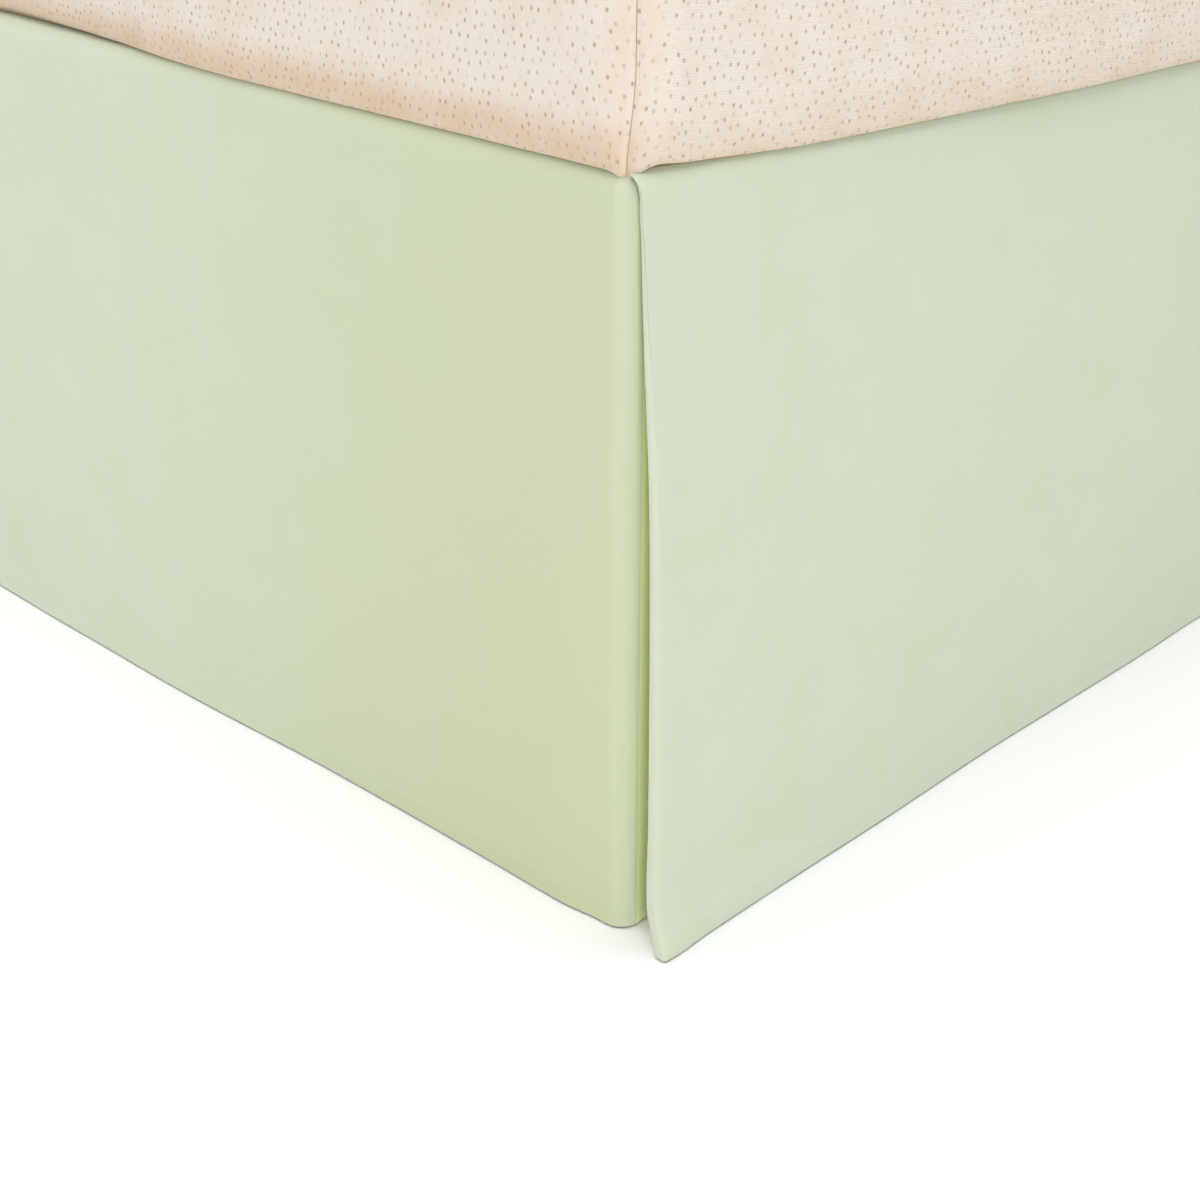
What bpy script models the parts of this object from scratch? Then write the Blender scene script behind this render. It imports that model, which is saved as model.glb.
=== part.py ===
"""Bed skirt with pleated corners, hung on a queen bed.

The drops hang from a flat deck that lies between the mattress and the box spring.
Metres, +Z up. The floor is z = 0, the foot of the bed faces -Y and its head faces +Y.
Each cloth panel is an open grid, laid out by functions and thickened by Solidify.
"""
import math
from collections import namedtuple

import bmesh
import bpy

# ---------------------------------------------------------------- driving sizes
BED_WIDTH = 1.524
BED_LENGTH = 2.032
DROP = 0.381
HEM_LIFT = 0.001
CLOTH = 0.0012
GAP = 0.0003

# the drop's way over the edge of the box spring
LIP = 0.020
EDGE_RADIUS = 0.010

# the corner pleat
CORNER_RADIUS = 0.011
PLEAT_DEPTH = 0.090
UNDERLAY_START = 0.015
UNDERLAY_SWING = 0.0070
# the underlay's hollow behind the turn: its depth at the hem, and where it starts and ends
UNDERLAY_HOLLOW = 0.0040
HOLLOW_WIDTH = 0.012
HOLLOW_END = 0.025
HOLLOW_END_WIDTH = 0.035
FOLD_RADIUS_TOP = 0.0013
FOLD_RADIUS_HEM = 0.0038
# roundness of the fold's section: 1 is a half circle, less is squarer
FOLD_ROUNDNESS_HEM = 0.42
# how far the fold's edge is ahead of the bed's foot: a little behind it at the top
FOLD_AHEAD_TOP = -0.0057
FOLD_AHEAD_HEM = 0.0055
FOLD_END = 0.004
RETURN_START = 0.006
TUCKED_INSET = 0.0025

# the bed that carries the cloth
BOX_INSET = 0.008
BOX_EDGE_RADIUS = 0.014
BOX_CORNER_RADIUS = 0.018
LEG_HEIGHT = 0.190
LEG_TOP_RADIUS = 0.032
LEG_FOOT_RADIUS = 0.024
LEG_SIDES = 20
LEG_FROM_SIDE = 0.150
LEG_FROM_END = 0.160
MATTRESS_HEIGHT = 0.250
MATTRESS_CORNER_RADIUS = 0.024
# less than the corner radius, or the ring would cross itself at the corners
MATTRESS_UPPER_ROLL = 0.020
MATTRESS_BULGE = 0.005
# the rim at the mattress's lower edge: its roll, and how far in it meets the flat underside
RIM_DEPTH = 0.0035
RIM_HEIGHT = 0.014
RIM_REACH = 0.009

# ---------------------------------------------------------------- short tables
# hem stand-off: how far the hem stands out from the bed, by distance from the corner
HemRow = namedtuple("HemRow", "along out")
FOOT_HEM_RIGHT = (
    HemRow(0.000, 0.0034),
    HemRow(0.014, 0.0040),
    HemRow(0.038, 0.0075),
    HemRow(0.100, 0.0095),
    HemRow(0.165, 0.012),
    HemRow(0.310, 0.022),
    HemRow(0.390, 0.027),
    HemRow(0.480, 0.029),
    HemRow(0.590, 0.033),
    HemRow(0.762, 0.034),
)
FOOT_HEM_LEFT = (
    HemRow(0.000, 0.004),
    HemRow(0.120, 0.010),
    HemRow(0.280, 0.016),
    HemRow(0.430, 0.027),
    HemRow(0.600, 0.030),
    HemRow(0.762, 0.034),
)
SIDE_HEM_RIGHT = (
    HemRow(0.000, 0.0359),
    HemRow(0.030, 0.0332),
    HemRow(0.120, 0.0282),
    HemRow(0.230, 0.0236),
    HemRow(0.320, 0.019),
    HemRow(0.440, 0.015),
    HemRow(0.540, 0.010),
    HemRow(0.780, 0.017),
    HemRow(1.120, 0.010),
    HemRow(1.460, 0.019),
    HemRow(1.760, 0.011),
    HemRow(2.032, 0.015),
)
SIDE_HEM_LEFT = (
    HemRow(0.000, 0.0359),
    HemRow(0.090, 0.030),
    HemRow(0.260, 0.021),
    HemRow(0.500, 0.014),
    HemRow(0.850, 0.020),
    HemRow(1.200, 0.011),
    HemRow(1.600, 0.018),
    HemRow(2.032, 0.013),
)
# share of the stand-off that the pleat's fold has reached, by share of the way down
KickRow = namedtuple("KickRow", "down share")
FOLD_KICK = (
    KickRow(0.00, 0.03),
    KickRow(0.05, 0.09),
    KickRow(0.12, 0.16),
    KickRow(0.20, 0.25),
    KickRow(0.35, 0.43),
    KickRow(0.50, 0.55),
    KickRow(0.65, 0.65),
    KickRow(0.82, 0.75),
    KickRow(0.94, 0.81),
    KickRow(1.00, 1.00),
)
PLAIN_KICK_POWER = 1.25
KICK_REACH = 0.35
# how far the mattress's side stands out past the skirt's top line
BulgeRow = namedtuple("BulgeRow", "along out")
MATTRESS_FOOT = (
    BulgeRow(0.000, 0.000),
    BulgeRow(0.280, 0.000),
    BulgeRow(0.360, -0.001),
    BulgeRow(0.430, -0.005),
    BulgeRow(0.550, -0.010),
    BulgeRow(0.762, -0.011),
)
MATTRESS_SIDE = (
    BulgeRow(0.000, 0.000),
    BulgeRow(0.075, 0.001),
    BulgeRow(0.110, 0.003),
    BulgeRow(0.200, 0.005),
    BulgeRow(0.320, 0.007),
    BulgeRow(0.450, 0.006),
    BulgeRow(1.016, 0.005),
)
MATTRESS_HEAD = (
    BulgeRow(0.000, 0.000),
    BulgeRow(0.300, 0.012),
    BulgeRow(0.762, 0.010),
)
# how high the rim is over the flat underside: below it where the soft edge sags past the
# deck, and above it where the edge lifts and leaves a dark gap
RimRow = namedtuple("RimRow", "along height")
FOOT_RIM = (
    RimRow(0.000, -0.0005),
    RimRow(0.026, -0.0010),
    RimRow(0.280, -0.0013),
    RimRow(0.360, -0.0004),
    RimRow(0.430, 0.0015),
    RimRow(0.550, 0.0036),
    RimRow(0.762, 0.0034),
)
SIDE_RIM = (
    RimRow(0.000, -0.0005),
    RimRow(0.016, 0.0008),
    RimRow(0.045, -0.0002),
    RimRow(0.110, -0.0027),
    RimRow(0.320, -0.0035),
    RimRow(0.450, -0.0028),
    RimRow(1.016, -0.0026),
)
# the crown of the mattress's top, by distance in from its upper roll
CrownRow = namedtuple("CrownRow", "from_roll rise")
MATTRESS_CROWN = (
    CrownRow(0.050, 0.005),
    CrownRow(0.130, 0.009),
    CrownRow(0.260, 0.011),
)
# soft waves that grow towards the hem
WaveRow = namedtuple("WaveRow", "length height phase")
HEM_WAVES = (
    WaveRow(0.410, 0.0006, 0.4),
    WaveRow(0.173, 0.0003, 2.1),
)

# ---------------------------------------------------------------- worked-out sizes
HALF_WIDTH = BED_WIDTH / 2
DECK_TOP = HEM_LIFT + DROP
SHEET_Z = DECK_TOP - CLOTH / 2
HANG_TOP = SHEET_Z - EDGE_RADIUS
HANG = HANG_TOP - HEM_LIFT
ROUND_LENGTH = EDGE_RADIUS * math.pi / 2
TOP_INSET = EDGE_RADIUS + LIP
LAYER = CLOTH + GAP
MATTRESS_BOTTOM = DECK_TOP + GAP
MATTRESS_TOP = MATTRESS_BOTTOM + MATTRESS_HEIGHT
MATTRESS_MIDDLE = (MATTRESS_BOTTOM + MATTRESS_TOP) / 2
# the mattress at the head and the hem at the foot reach equally far from the origin
FOOT_REACH = FOOT_HEM_RIGHT[-1].out
HEAD_REACH = MATTRESS_HEAD[1].out + MATTRESS_BULGE
BED_CENTRE_Y = (FOOT_REACH - HEAD_REACH) / 2
FOOT_Y = BED_CENTRE_Y - BED_LENGTH / 2
HEAD_Y = BED_CENTRE_Y + BED_LENGTH / 2

# grid steps
HANG_STEPS = (0.05, 0.13, 0.23, 0.36, 0.50, 0.65, 0.80, 0.95, 1.00)
ROUND_STEPS = 4
TUCKED_ROWS_SHARE = 0.8
TURN_STEPS = 6
FOLD_STEPS = 8
PLEAT_STEPS = 8
MITRE_STEPS = 4
FOOT_STEPS = 21
SIDE_STEPS = 44
BLOCK_ROLL_STEPS = 4
RIM_STEPS = 3
BOX_RING_STEPS = 2
MATTRESS_END_STEPS = 14
MATTRESS_SIDE_STEPS = 18
SMOOTH_ANGLE = math.radians(35)

Spot = namedtuple("Spot", "x y nx ny")
ProfileRow = namedtuple("ProfileRow", "z inset shrink")


# ---------------------------------------------------------------- small helpers
def mix(a, b, share):
    return a + (b - a) * share


def ease(share):
    share = min(1.0, max(0.0, share))
    return share * share * (3 - 2 * share)


def read_table(rows, at):
    """Smooth curve through a table's two columns, level at both ends."""
    at = min(rows[-1][0], max(rows[0][0], at))
    k = 0
    while k < len(rows) - 2 and at > rows[k + 1][0]:
        k += 1
    x0, y0 = rows[k]
    x1, y1 = rows[k + 1]

    def slope(i):
        before = rows[max(0, i - 1)]
        after = rows[min(len(rows) - 1, i + 1)]
        if i in (0, len(rows) - 1):
            return 0.0
        return (after[1] - before[1]) / (after[0] - before[0])

    width = x1 - x0
    s = (at - x0) / width
    return (
        (2 * s**3 - 3 * s**2 + 1) * y0
        + (s**3 - 2 * s**2 + s) * width * slope(k)
        + (3 * s**2 - 2 * s**3) * y1
        + (s**3 - s**2) * width * slope(k + 1)
    )


def plain_kick(down):
    return 1 - (1 - down) ** PLAIN_KICK_POWER


def hem_wave(along, down):
    total = 0.0
    for wave in HEM_WAVES:
        total += wave.height * math.sin(2 * math.pi * along / wave.length + wave.phase)
    return total * down * down


def spread(first, last, steps):
    """Evenly spaced values from first to last, both ends in."""
    return [mix(first, last, k / steps) for k in range(steps + 1)]


# ---------------------------------------------------------------- plan of the corner
# Each function gives a spot on a panel's middle surface for the right-hand foot corner:
# x is out from the bed's centre line, y along the bed, and (nx, ny) faces outwards.
def side_layer_out(along, down, hem):
    near_corner = ease(along / KICK_REACH)
    kick = mix(read_table(FOLD_KICK, down), plain_kick(down), near_corner)
    wave = hem_wave(along, down) * ease(along / PLEAT_DEPTH)
    return read_table(hem, along) * kick + wave - CLOTH / 2


def fold_radius(down):
    return mix(FOLD_RADIUS_TOP, FOLD_RADIUS_HEM, down)


def fold_ahead(down):
    return mix(FOLD_AHEAD_TOP, FOLD_AHEAD_HEM, down)


def side_run(along, down, hem):
    out = side_layer_out(along, down, hem)
    return Spot(HALF_WIDTH + out, FOOT_Y + along, 1, 0)


def side_fold(turn, down, hem):
    """The pressed fold, from the outer layer (turn 0) round to the return (turn 1)."""
    radius = fold_radius(down)
    angle = math.pi * turn
    roundness = mix(1, FOLD_ROUNDNESS_HEM, down)
    out = math.copysign(abs(math.cos(angle)) ** roundness, math.cos(angle))
    ahead = max(0.0, math.sin(angle)) ** roundness
    x = HALF_WIDTH + side_layer_out(0, down, hem) - radius + radius * out
    y = FOOT_Y - fold_ahead(down) + radius - radius * ahead
    return Spot(x, y, math.cos(angle), -math.sin(angle))


def return_out(along, down, hem):
    apart = mix(2 * fold_radius(down), LAYER + GAP, ease(along / PLEAT_DEPTH))
    return side_layer_out(along, down, hem) - apart


def side_return(along, down, hem):
    return Spot(HALF_WIDTH + return_out(along, down, hem), FOOT_Y + along, 1, 0)


def underlay_out(along, down, hem):
    sunk = ease((along - CORNER_RADIUS) / HOLLOW_WIDTH)
    sunk -= ease((along - HOLLOW_END) / HOLLOW_END_WIDTH)
    tucked = -CLOTH / 2 - 2 * FOLD_RADIUS_TOP - LAYER
    tucked += (UNDERLAY_SWING - UNDERLAY_HOLLOW * sunk) * down
    seam = return_out(PLEAT_DEPTH, down, hem) - LAYER - GAP
    share = ease((along - UNDERLAY_START) / (PLEAT_DEPTH - UNDERLAY_START))
    return mix(tucked, seam, share)


def underlay_run(along, down, hem):
    return Spot(HALF_WIDTH + underlay_out(along, down, hem), FOOT_Y + along, 1, 0)


def foot_out(across, down, hem):
    return read_table(hem, across) * plain_kick(down) + hem_wave(across, down) - CLOTH / 2


def foot_turn(turn, down, hem_foot, hem_side):
    """The foot drop's turn round the corner, from the side (turn 0) to the foot (turn 1)."""
    angle = math.pi / 2 * (1 - turn)
    side = HALF_WIDTH + underlay_out(CORNER_RADIUS, down, hem_side)
    foot = FOOT_Y - foot_out(CORNER_RADIUS, down, hem_foot)
    x = side - CORNER_RADIUS + CORNER_RADIUS * math.sin(angle)
    y = foot + CORNER_RADIUS - CORNER_RADIUS * math.cos(angle)
    return Spot(x, y, math.sin(angle), -math.cos(angle))


def foot_run(across, down, hem):
    return Spot(HALF_WIDTH - across, FOOT_Y - foot_out(across, down, hem), 0, -1)


def top_start(inset):
    """Cloth length that is left off at the top so that it reaches only this far inwards."""
    if inset >= EDGE_RADIUS:
        return TOP_INSET - inset
    return LIP + EDGE_RADIUS * math.asin(1 - inset / EDGE_RADIUS)


TUCKED_START = LIP + ROUND_LENGTH + TUCKED_INSET


def side_run_start(along):
    past_turn = along - CORNER_RADIUS - TUCKED_INSET
    return top_start(min(TOP_INSET, max(TUCKED_INSET, past_turn)))


def foot_run_start(across):
    return top_start(min(TOP_INSET, across - TUCKED_INSET))


def turn_start(turn):
    return top_start(mix(TUCKED_INSET, CORNER_RADIUS - TUCKED_INSET, turn))


# ---------------------------------------------------------------- panels as columns
# A column is (where its cloth starts, function of the way down that gives its spot).
def side_columns(hem):
    columns = []
    near = spread(PLEAT_DEPTH, FOLD_END, 2 * PLEAT_STEPS)
    for along in spread(BED_LENGTH, PLEAT_DEPTH, SIDE_STEPS)[:-1] + near:
        columns.append((side_run_start(along), lambda d, a=along: side_run(a, d, hem)))
    for turn in spread(0, 1, FOLD_STEPS):
        start = mix(top_start(TUCKED_INSET), TUCKED_START, turn)
        columns.append((start, lambda d, k=turn: side_fold(k, d, hem)))
    for along in spread(RETURN_START, PLEAT_DEPTH, PLEAT_STEPS):
        columns.append((TUCKED_START, lambda d, a=along: side_return(a, d, hem)))
    return columns


def half_foot_columns(hem_foot, hem_side):
    """From the underlay's inner end round the corner to the middle of the foot."""
    columns = []
    for along in spread(PLEAT_DEPTH, CORNER_RADIUS, PLEAT_STEPS)[:-1]:
        columns.append((TUCKED_START, lambda d, a=along: underlay_run(a, d, hem_side)))
    for turn in spread(0, 1, TURN_STEPS):
        start = max(turn_start(turn), TUCKED_START * (turn == 0))
        columns.append((start, lambda d, k=turn: foot_turn(k, d, hem_foot, hem_side)))
    mitre_end = TOP_INSET + TUCKED_INSET
    near = spread(CORNER_RADIUS, mitre_end, MITRE_STEPS)[1:-1]
    for across in near + spread(mitre_end, HALF_WIDTH, FOOT_STEPS):
        columns.append((foot_run_start(across), lambda d, b=across: foot_run(b, d, hem_foot)))
    return columns


def mirrored(columns):
    """The same columns on the left of the bed."""

    def flip(spot_at):
        def flipped(down):
            spot = spot_at(down)
            return Spot(-spot.x, spot.y, -spot.nx, spot.ny)

        return flipped

    return [(start, flip(spot_at)) for start, spot_at in columns]


def drape(column, length):
    """Point of a column at this cloth length from the deck seam."""
    _, spot_at = column
    if length <= LIP:
        spot, inset, z = spot_at(0), TOP_INSET - length, SHEET_Z
    elif length <= LIP + ROUND_LENGTH:
        angle = (length - LIP) / EDGE_RADIUS
        spot, inset = spot_at(0), EDGE_RADIUS * (1 - math.sin(angle))
        z = HANG_TOP + EDGE_RADIUS * math.cos(angle)
    else:
        down = min(1.0, (length - LIP - ROUND_LENGTH) / HANG)
        spot, inset, z = spot_at(down), 0, HANG_TOP - HANG * down
    return (spot.x - spot.nx * inset, spot.y - spot.ny * inset, z)


def row_lengths(start):
    """Cloth lengths of a column's rows: lip, round over the edge, then the hang."""
    round_end = LIP + ROUND_LENGTH
    hang = [round_end + HANG * step for step in HANG_STEPS]
    if start < LIP:
        return [start] + spread(LIP, round_end, ROUND_STEPS) + hang
    top_end = max(round_end, mix(start, hang[0], TUCKED_ROWS_SHARE))
    return spread(start, top_end, ROUND_STEPS + 1) + hang


# ---------------------------------------------------------------- Blender objects
def make_material(name, colour, roughness):
    material = bpy.data.materials.new(name)
    material.use_nodes = True
    shader = material.node_tree.nodes["Principled BSDF"]
    shader.inputs["Base Color"].default_value = (*colour, 1)
    shader.inputs["Roughness"].default_value = roughness
    shader.inputs["Metallic"].default_value = 0
    return material


def face_outwards(bm):
    """Turn a solid's faces outwards: its signed volume is above zero then."""
    bmesh.ops.recalc_face_normals(bm, faces=bm.faces)
    if bm.calc_volume(signed=True) < 0:
        bmesh.ops.reverse_faces(bm, faces=bm.faces)


def add_object(name, bm, material, collection):
    mesh = bpy.data.meshes.new(name)
    bm.to_mesh(mesh)
    bm.free()
    mesh.materials.append(material)
    mesh.shade_smooth()
    mesh.set_sharp_from_angle(angle=SMOOTH_ANGLE)
    thing = bpy.data.objects.new(name, mesh)
    collection.objects.link(thing)
    return thing


def mapped_grid(columns, rows, place):
    """A grid whose vertex (column i, row j) is moved to place(i, j)."""
    bm = bmesh.new()
    bmesh.ops.create_grid(bm, x_segments=columns - 1, y_segments=rows - 1, size=0.5)
    for vertex in bm.verts:
        i = round((vertex.co.x + 0.5) * (columns - 1))
        j = round((vertex.co.y + 0.5) * (rows - 1))
        vertex.co = place(i, j)
    return bm


def thicken(thing):
    solidify = thing.modifiers.new("cloth thickness", "SOLIDIFY")
    solidify.thickness = CLOTH
    solidify.offset = 0
    solidify.use_even_offset = False


def make_drop(name, columns, material, collection):
    lengths = [row_lengths(start) for start, _ in columns]

    def place(i, j):
        return drape(columns[i], lengths[i][j])

    bm = mapped_grid(len(columns), len(lengths[0]), place)
    thing = add_object(name, bm, material, collection)
    thicken(thing)
    return thing


def rounded_rectangle(half_x, half_y, radius, steps_x, steps_y, turn_steps):
    """Spots round a rectangle with round corners, anticlockwise from the right side."""
    spots = []
    flat_x = half_x - radius
    flat_y = half_y - radius
    for quarter in range(4):
        angle = math.pi / 2 * quarter
        nx, ny = round(math.cos(angle)), round(math.sin(angle))
        reach, run = (half_x, flat_y) if nx else (half_y, flat_x)
        steps = steps_y if nx else steps_x
        for k in range(steps):
            slide = mix(-run, run, k / steps)
            spots.append(Spot(nx * reach - ny * slide, ny * reach + nx * slide, nx, ny))
        corner_x = flat_x * (nx - ny)
        corner_y = flat_y * (ny + nx)
        for k in range(turn_steps):
            turn = angle + math.pi / 2 * k / turn_steps
            tx, ty = math.cos(turn), math.sin(turn)
            spots.append(Spot(corner_x + radius * tx, corner_y + radius * ty, tx, ty))
    return spots


def lofted_block(name, spots, profile, centre_y, material, collection, swell=None):
    """Closed solid from a ring of spots and a profile of rows.

    A row's inset moves the ring in along its normals, and its shrink draws it towards the
    centre. swell(spot, row) gives how far a spot goes out and up from there. The two end
    rings are closed by flat faces.
    """
    half_x = max(spot.x for spot in spots)
    half_y = max(spot.y for spot in spots)

    def place(i, j):
        spot = spots[i % len(spots)]
        row = profile[j]
        out, up = swell(spot, row) if swell else (0, 0)
        out -= row.inset
        x = (spot.x + spot.nx * out) * (1 - row.shrink / half_x)
        y = (spot.y + spot.ny * out) * (1 - row.shrink / half_y)
        return (x, centre_y + y, row.z + up)

    bm = mapped_grid(len(spots) + 1, len(profile), place)
    bmesh.ops.remove_doubles(bm, verts=bm.verts, dist=0.00001)
    bmesh.ops.holes_fill(bm, edges=bm.edges, sides=0)
    face_outwards(bm)
    return add_object(name, bm, material, collection)


def lower_roll(bottom, depth, height):
    """Rows round a block's lower edge, from its underside to its side."""
    profile = []
    for angle in spread(0, math.pi / 2, BLOCK_ROLL_STEPS):
        z = bottom + height * (1 - math.cos(angle))
        profile.append(ProfileRow(z, depth * (1 - math.sin(angle)), 0))
    return profile


def upper_roll(top, radius):
    """Rows round a block's upper edge, from its side to its top."""
    profile = []
    for angle in spread(0, math.pi / 2, BLOCK_ROLL_STEPS):
        z = top - radius * (1 - math.sin(angle))
        profile.append(ProfileRow(z, radius * (1 - math.cos(angle)), 0))
    return profile


def make_box_spring(material, collection):
    half_x = HALF_WIDTH - BOX_INSET
    half_y = BED_LENGTH / 2 - BOX_INSET
    spots = rounded_rectangle(
        half_x, half_y, BOX_CORNER_RADIUS, BOX_RING_STEPS, BOX_RING_STEPS, BLOCK_ROLL_STEPS
    )
    top = DECK_TOP - CLOTH - GAP
    bottom = LEG_HEIGHT + GAP
    profile = lower_roll(bottom, BOX_EDGE_RADIUS, BOX_EDGE_RADIUS)
    profile += upper_roll(top, BOX_EDGE_RADIUS)
    return lofted_block("box_spring", spots, profile, BED_CENTRE_Y, material, collection)


def outline_value(spot, foot_rows, side_rows, head_rows):
    """What the tables say at this spot of the mattress's outline; a corner mixes two."""
    from_end = BED_LENGTH / 2 - abs(spot.y)
    from_side = HALF_WIDTH - abs(spot.x)
    end = read_table(foot_rows if spot.y < 0 else head_rows, from_side)
    return mix(end, read_table(side_rows, from_end), spot.nx * spot.nx)


def mattress_swell(spot, row):
    """How far the mattress's side bulges out here, and how far its rim sags or lifts."""
    from_middle = min(1.0, abs(row.z - MATTRESS_MIDDLE) / (MATTRESS_HEIGHT / 2))
    out = outline_value(spot, MATTRESS_FOOT, MATTRESS_SIDE, MATTRESS_HEAD)
    out += MATTRESS_BULGE * (1 - from_middle**2)
    if row.z > MATTRESS_MIDDLE:
        return out, 0
    at_rim = ease((RIM_REACH - row.inset) / (RIM_REACH - RIM_DEPTH))
    at_rim *= ease((MATTRESS_MIDDLE - row.z) / (MATTRESS_HEIGHT / 2))
    return out, outline_value(spot, FOOT_RIM, SIDE_RIM, SIDE_RIM) * at_rim


def make_mattress(material, collection):
    spots = rounded_rectangle(
        HALF_WIDTH,
        BED_LENGTH / 2,
        MATTRESS_CORNER_RADIUS,
        MATTRESS_END_STEPS,
        MATTRESS_SIDE_STEPS,
        BLOCK_ROLL_STEPS,
    )
    underside = spread(RIM_REACH, RIM_DEPTH, RIM_STEPS)[:-1]
    profile = [ProfileRow(MATTRESS_BOTTOM, inset, 0) for inset in underside]
    profile += lower_roll(MATTRESS_BOTTOM, RIM_DEPTH, RIM_HEIGHT)
    profile.append(ProfileRow(MATTRESS_MIDDLE, 0, 0))
    profile += upper_roll(MATTRESS_TOP, MATTRESS_UPPER_ROLL)
    for row in MATTRESS_CROWN:
        height = MATTRESS_TOP + row.rise
        profile.append(ProfileRow(height, MATTRESS_UPPER_ROLL, row.from_roll))
    return lofted_block(
        "mattress", spots, profile, BED_CENTRE_Y, material, collection, mattress_swell
    )


def make_deck(material, collection):
    """Flat panel that ends just inside the drops' top edges and at the bed's head."""
    inset = TOP_INSET + CLOTH / 2 + GAP
    half_y = (BED_LENGTH - inset - BOX_INSET) / 2
    centre_y = BED_CENTRE_Y + (inset - BOX_INSET) / 2
    spots = rounded_rectangle(
        HALF_WIDTH - inset, half_y, BOX_CORNER_RADIUS, 1, 1, BLOCK_ROLL_STEPS
    )
    profile = [ProfileRow(DECK_TOP - CLOTH, 0, 0), ProfileRow(DECK_TOP, 0, 0)]
    return lofted_block("deck", spots, profile, centre_y, material, collection)


def make_legs(material, collection):
    rows = (
        ("foot", FOOT_Y + LEG_FROM_END),
        ("middle", BED_CENTRE_Y),
        ("head", HEAD_Y - LEG_FROM_END),
    )
    for row_name, y in rows:
        for side_name, side in (("left", -1), ("right", 1)):
            bm = bmesh.new()
            bmesh.ops.create_cone(
                bm,
                cap_ends=True,
                segments=LEG_SIDES,
                radius1=LEG_FOOT_RADIUS,
                radius2=LEG_TOP_RADIUS,
                depth=LEG_HEIGHT,
            )
            leg = add_object(f"leg_{row_name}_{side_name}", bm, material, collection)
            leg.location = (side * (HALF_WIDTH - LEG_FROM_SIDE), y, LEG_HEIGHT / 2)


def main():
    for thing in list(bpy.data.objects):
        bpy.data.objects.remove(thing)
    collection = bpy.data.collections.new("bed skirt")
    bpy.context.scene.collection.children.link(collection)

    skirt_cloth = make_material("sage skirt cloth", (0.640, 0.700, 0.520), 0.85)
    deck_cloth = make_material("plain deck cloth", (0.800, 0.810, 0.740), 0.90)
    knit = make_material("mattress knit", (0.830, 0.720, 0.600), 0.90)
    cover = make_material("box spring cover", (0.780, 0.740, 0.670), 0.90)
    wood = make_material("leg wood", (0.430, 0.250, 0.120), 0.50)

    foot_right = half_foot_columns(FOOT_HEM_RIGHT, SIDE_HEM_RIGHT)
    foot_left = mirrored(half_foot_columns(FOOT_HEM_LEFT, SIDE_HEM_LEFT))
    foot_columns = foot_right + list(reversed(foot_left[:-1]))
    make_drop("foot_drop", foot_columns, skirt_cloth, collection)
    make_drop("right_drop", side_columns(SIDE_HEM_RIGHT), skirt_cloth, collection)
    make_drop("left_drop", mirrored(side_columns(SIDE_HEM_LEFT)), skirt_cloth, collection)
    make_deck(deck_cloth, collection)
    make_box_spring(cover, collection)
    make_mattress(knit, collection)
    make_legs(wood, collection)


main()
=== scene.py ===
"""Looks of a bed skirt with pleated corners, held between a mattress and a box spring.

Laid out as a Blender add-on and run as a script. Metres, +Z up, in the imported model's frame:
the floor is z = 0, the foot of the bed faces -Y and its head faces +Y.
"""
import math
from collections import namedtuple

import bmesh
import bpy
from bpy.props import FloatProperty, FloatVectorProperty, IntProperty, PointerProperty
from mathutils import Matrix, Vector, noise


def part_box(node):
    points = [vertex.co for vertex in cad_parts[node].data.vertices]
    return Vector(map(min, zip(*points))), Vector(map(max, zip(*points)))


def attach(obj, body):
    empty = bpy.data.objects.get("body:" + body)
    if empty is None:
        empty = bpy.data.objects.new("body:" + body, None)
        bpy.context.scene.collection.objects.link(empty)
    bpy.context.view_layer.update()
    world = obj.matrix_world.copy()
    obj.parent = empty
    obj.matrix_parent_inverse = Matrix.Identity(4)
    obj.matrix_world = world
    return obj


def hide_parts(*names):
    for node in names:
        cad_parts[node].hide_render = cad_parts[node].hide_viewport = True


bl_info = {
    "name": "Bed skirt looks",
    "version": (1, 0, 0),
    "blender": (4, 5, 0),
    "location": "View3D > Sidebar > Bed skirt",
    "description": "Cloth, mattress, box spring, legs and studio for a pleated bed skirt",
    "category": "Object",
}

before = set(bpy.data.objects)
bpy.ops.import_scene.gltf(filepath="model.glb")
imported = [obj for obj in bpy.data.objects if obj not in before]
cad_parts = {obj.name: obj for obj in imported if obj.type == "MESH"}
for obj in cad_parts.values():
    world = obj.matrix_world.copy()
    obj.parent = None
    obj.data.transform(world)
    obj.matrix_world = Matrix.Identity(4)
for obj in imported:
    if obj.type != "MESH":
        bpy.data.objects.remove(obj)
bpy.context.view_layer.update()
BODY = "root"

Row = namedtuple("Row", "at value")


def table(*rows):
    """A curve's rows: a place, and the value there."""
    return tuple(Row(*row) for row in rows)


# -------- the solids' sizes, repeated
BED_WIDTH = 1.524
BED_LENGTH = 2.032
CLOTH = 0.0012
GAP = 0.0003
LIP = 0.020
EDGE_RADIUS = 0.010
CORNER_RADIUS = 0.011
PLEAT_DEPTH = 0.090
UNDERLAY_START = 0.015
UNDERLAY_SWING = 0.0070
# the underlay's hollow behind the turn: its depth at the hem, and where it starts and ends
UNDERLAY_HOLLOW = 0.0040
HOLLOW_WIDTH = 0.012
HOLLOW_END = 0.025
HOLLOW_END_WIDTH = 0.035
FOLD_RADIUS_TOP = 0.0013
FOLD_RADIUS_HEM = 0.0038
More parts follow.
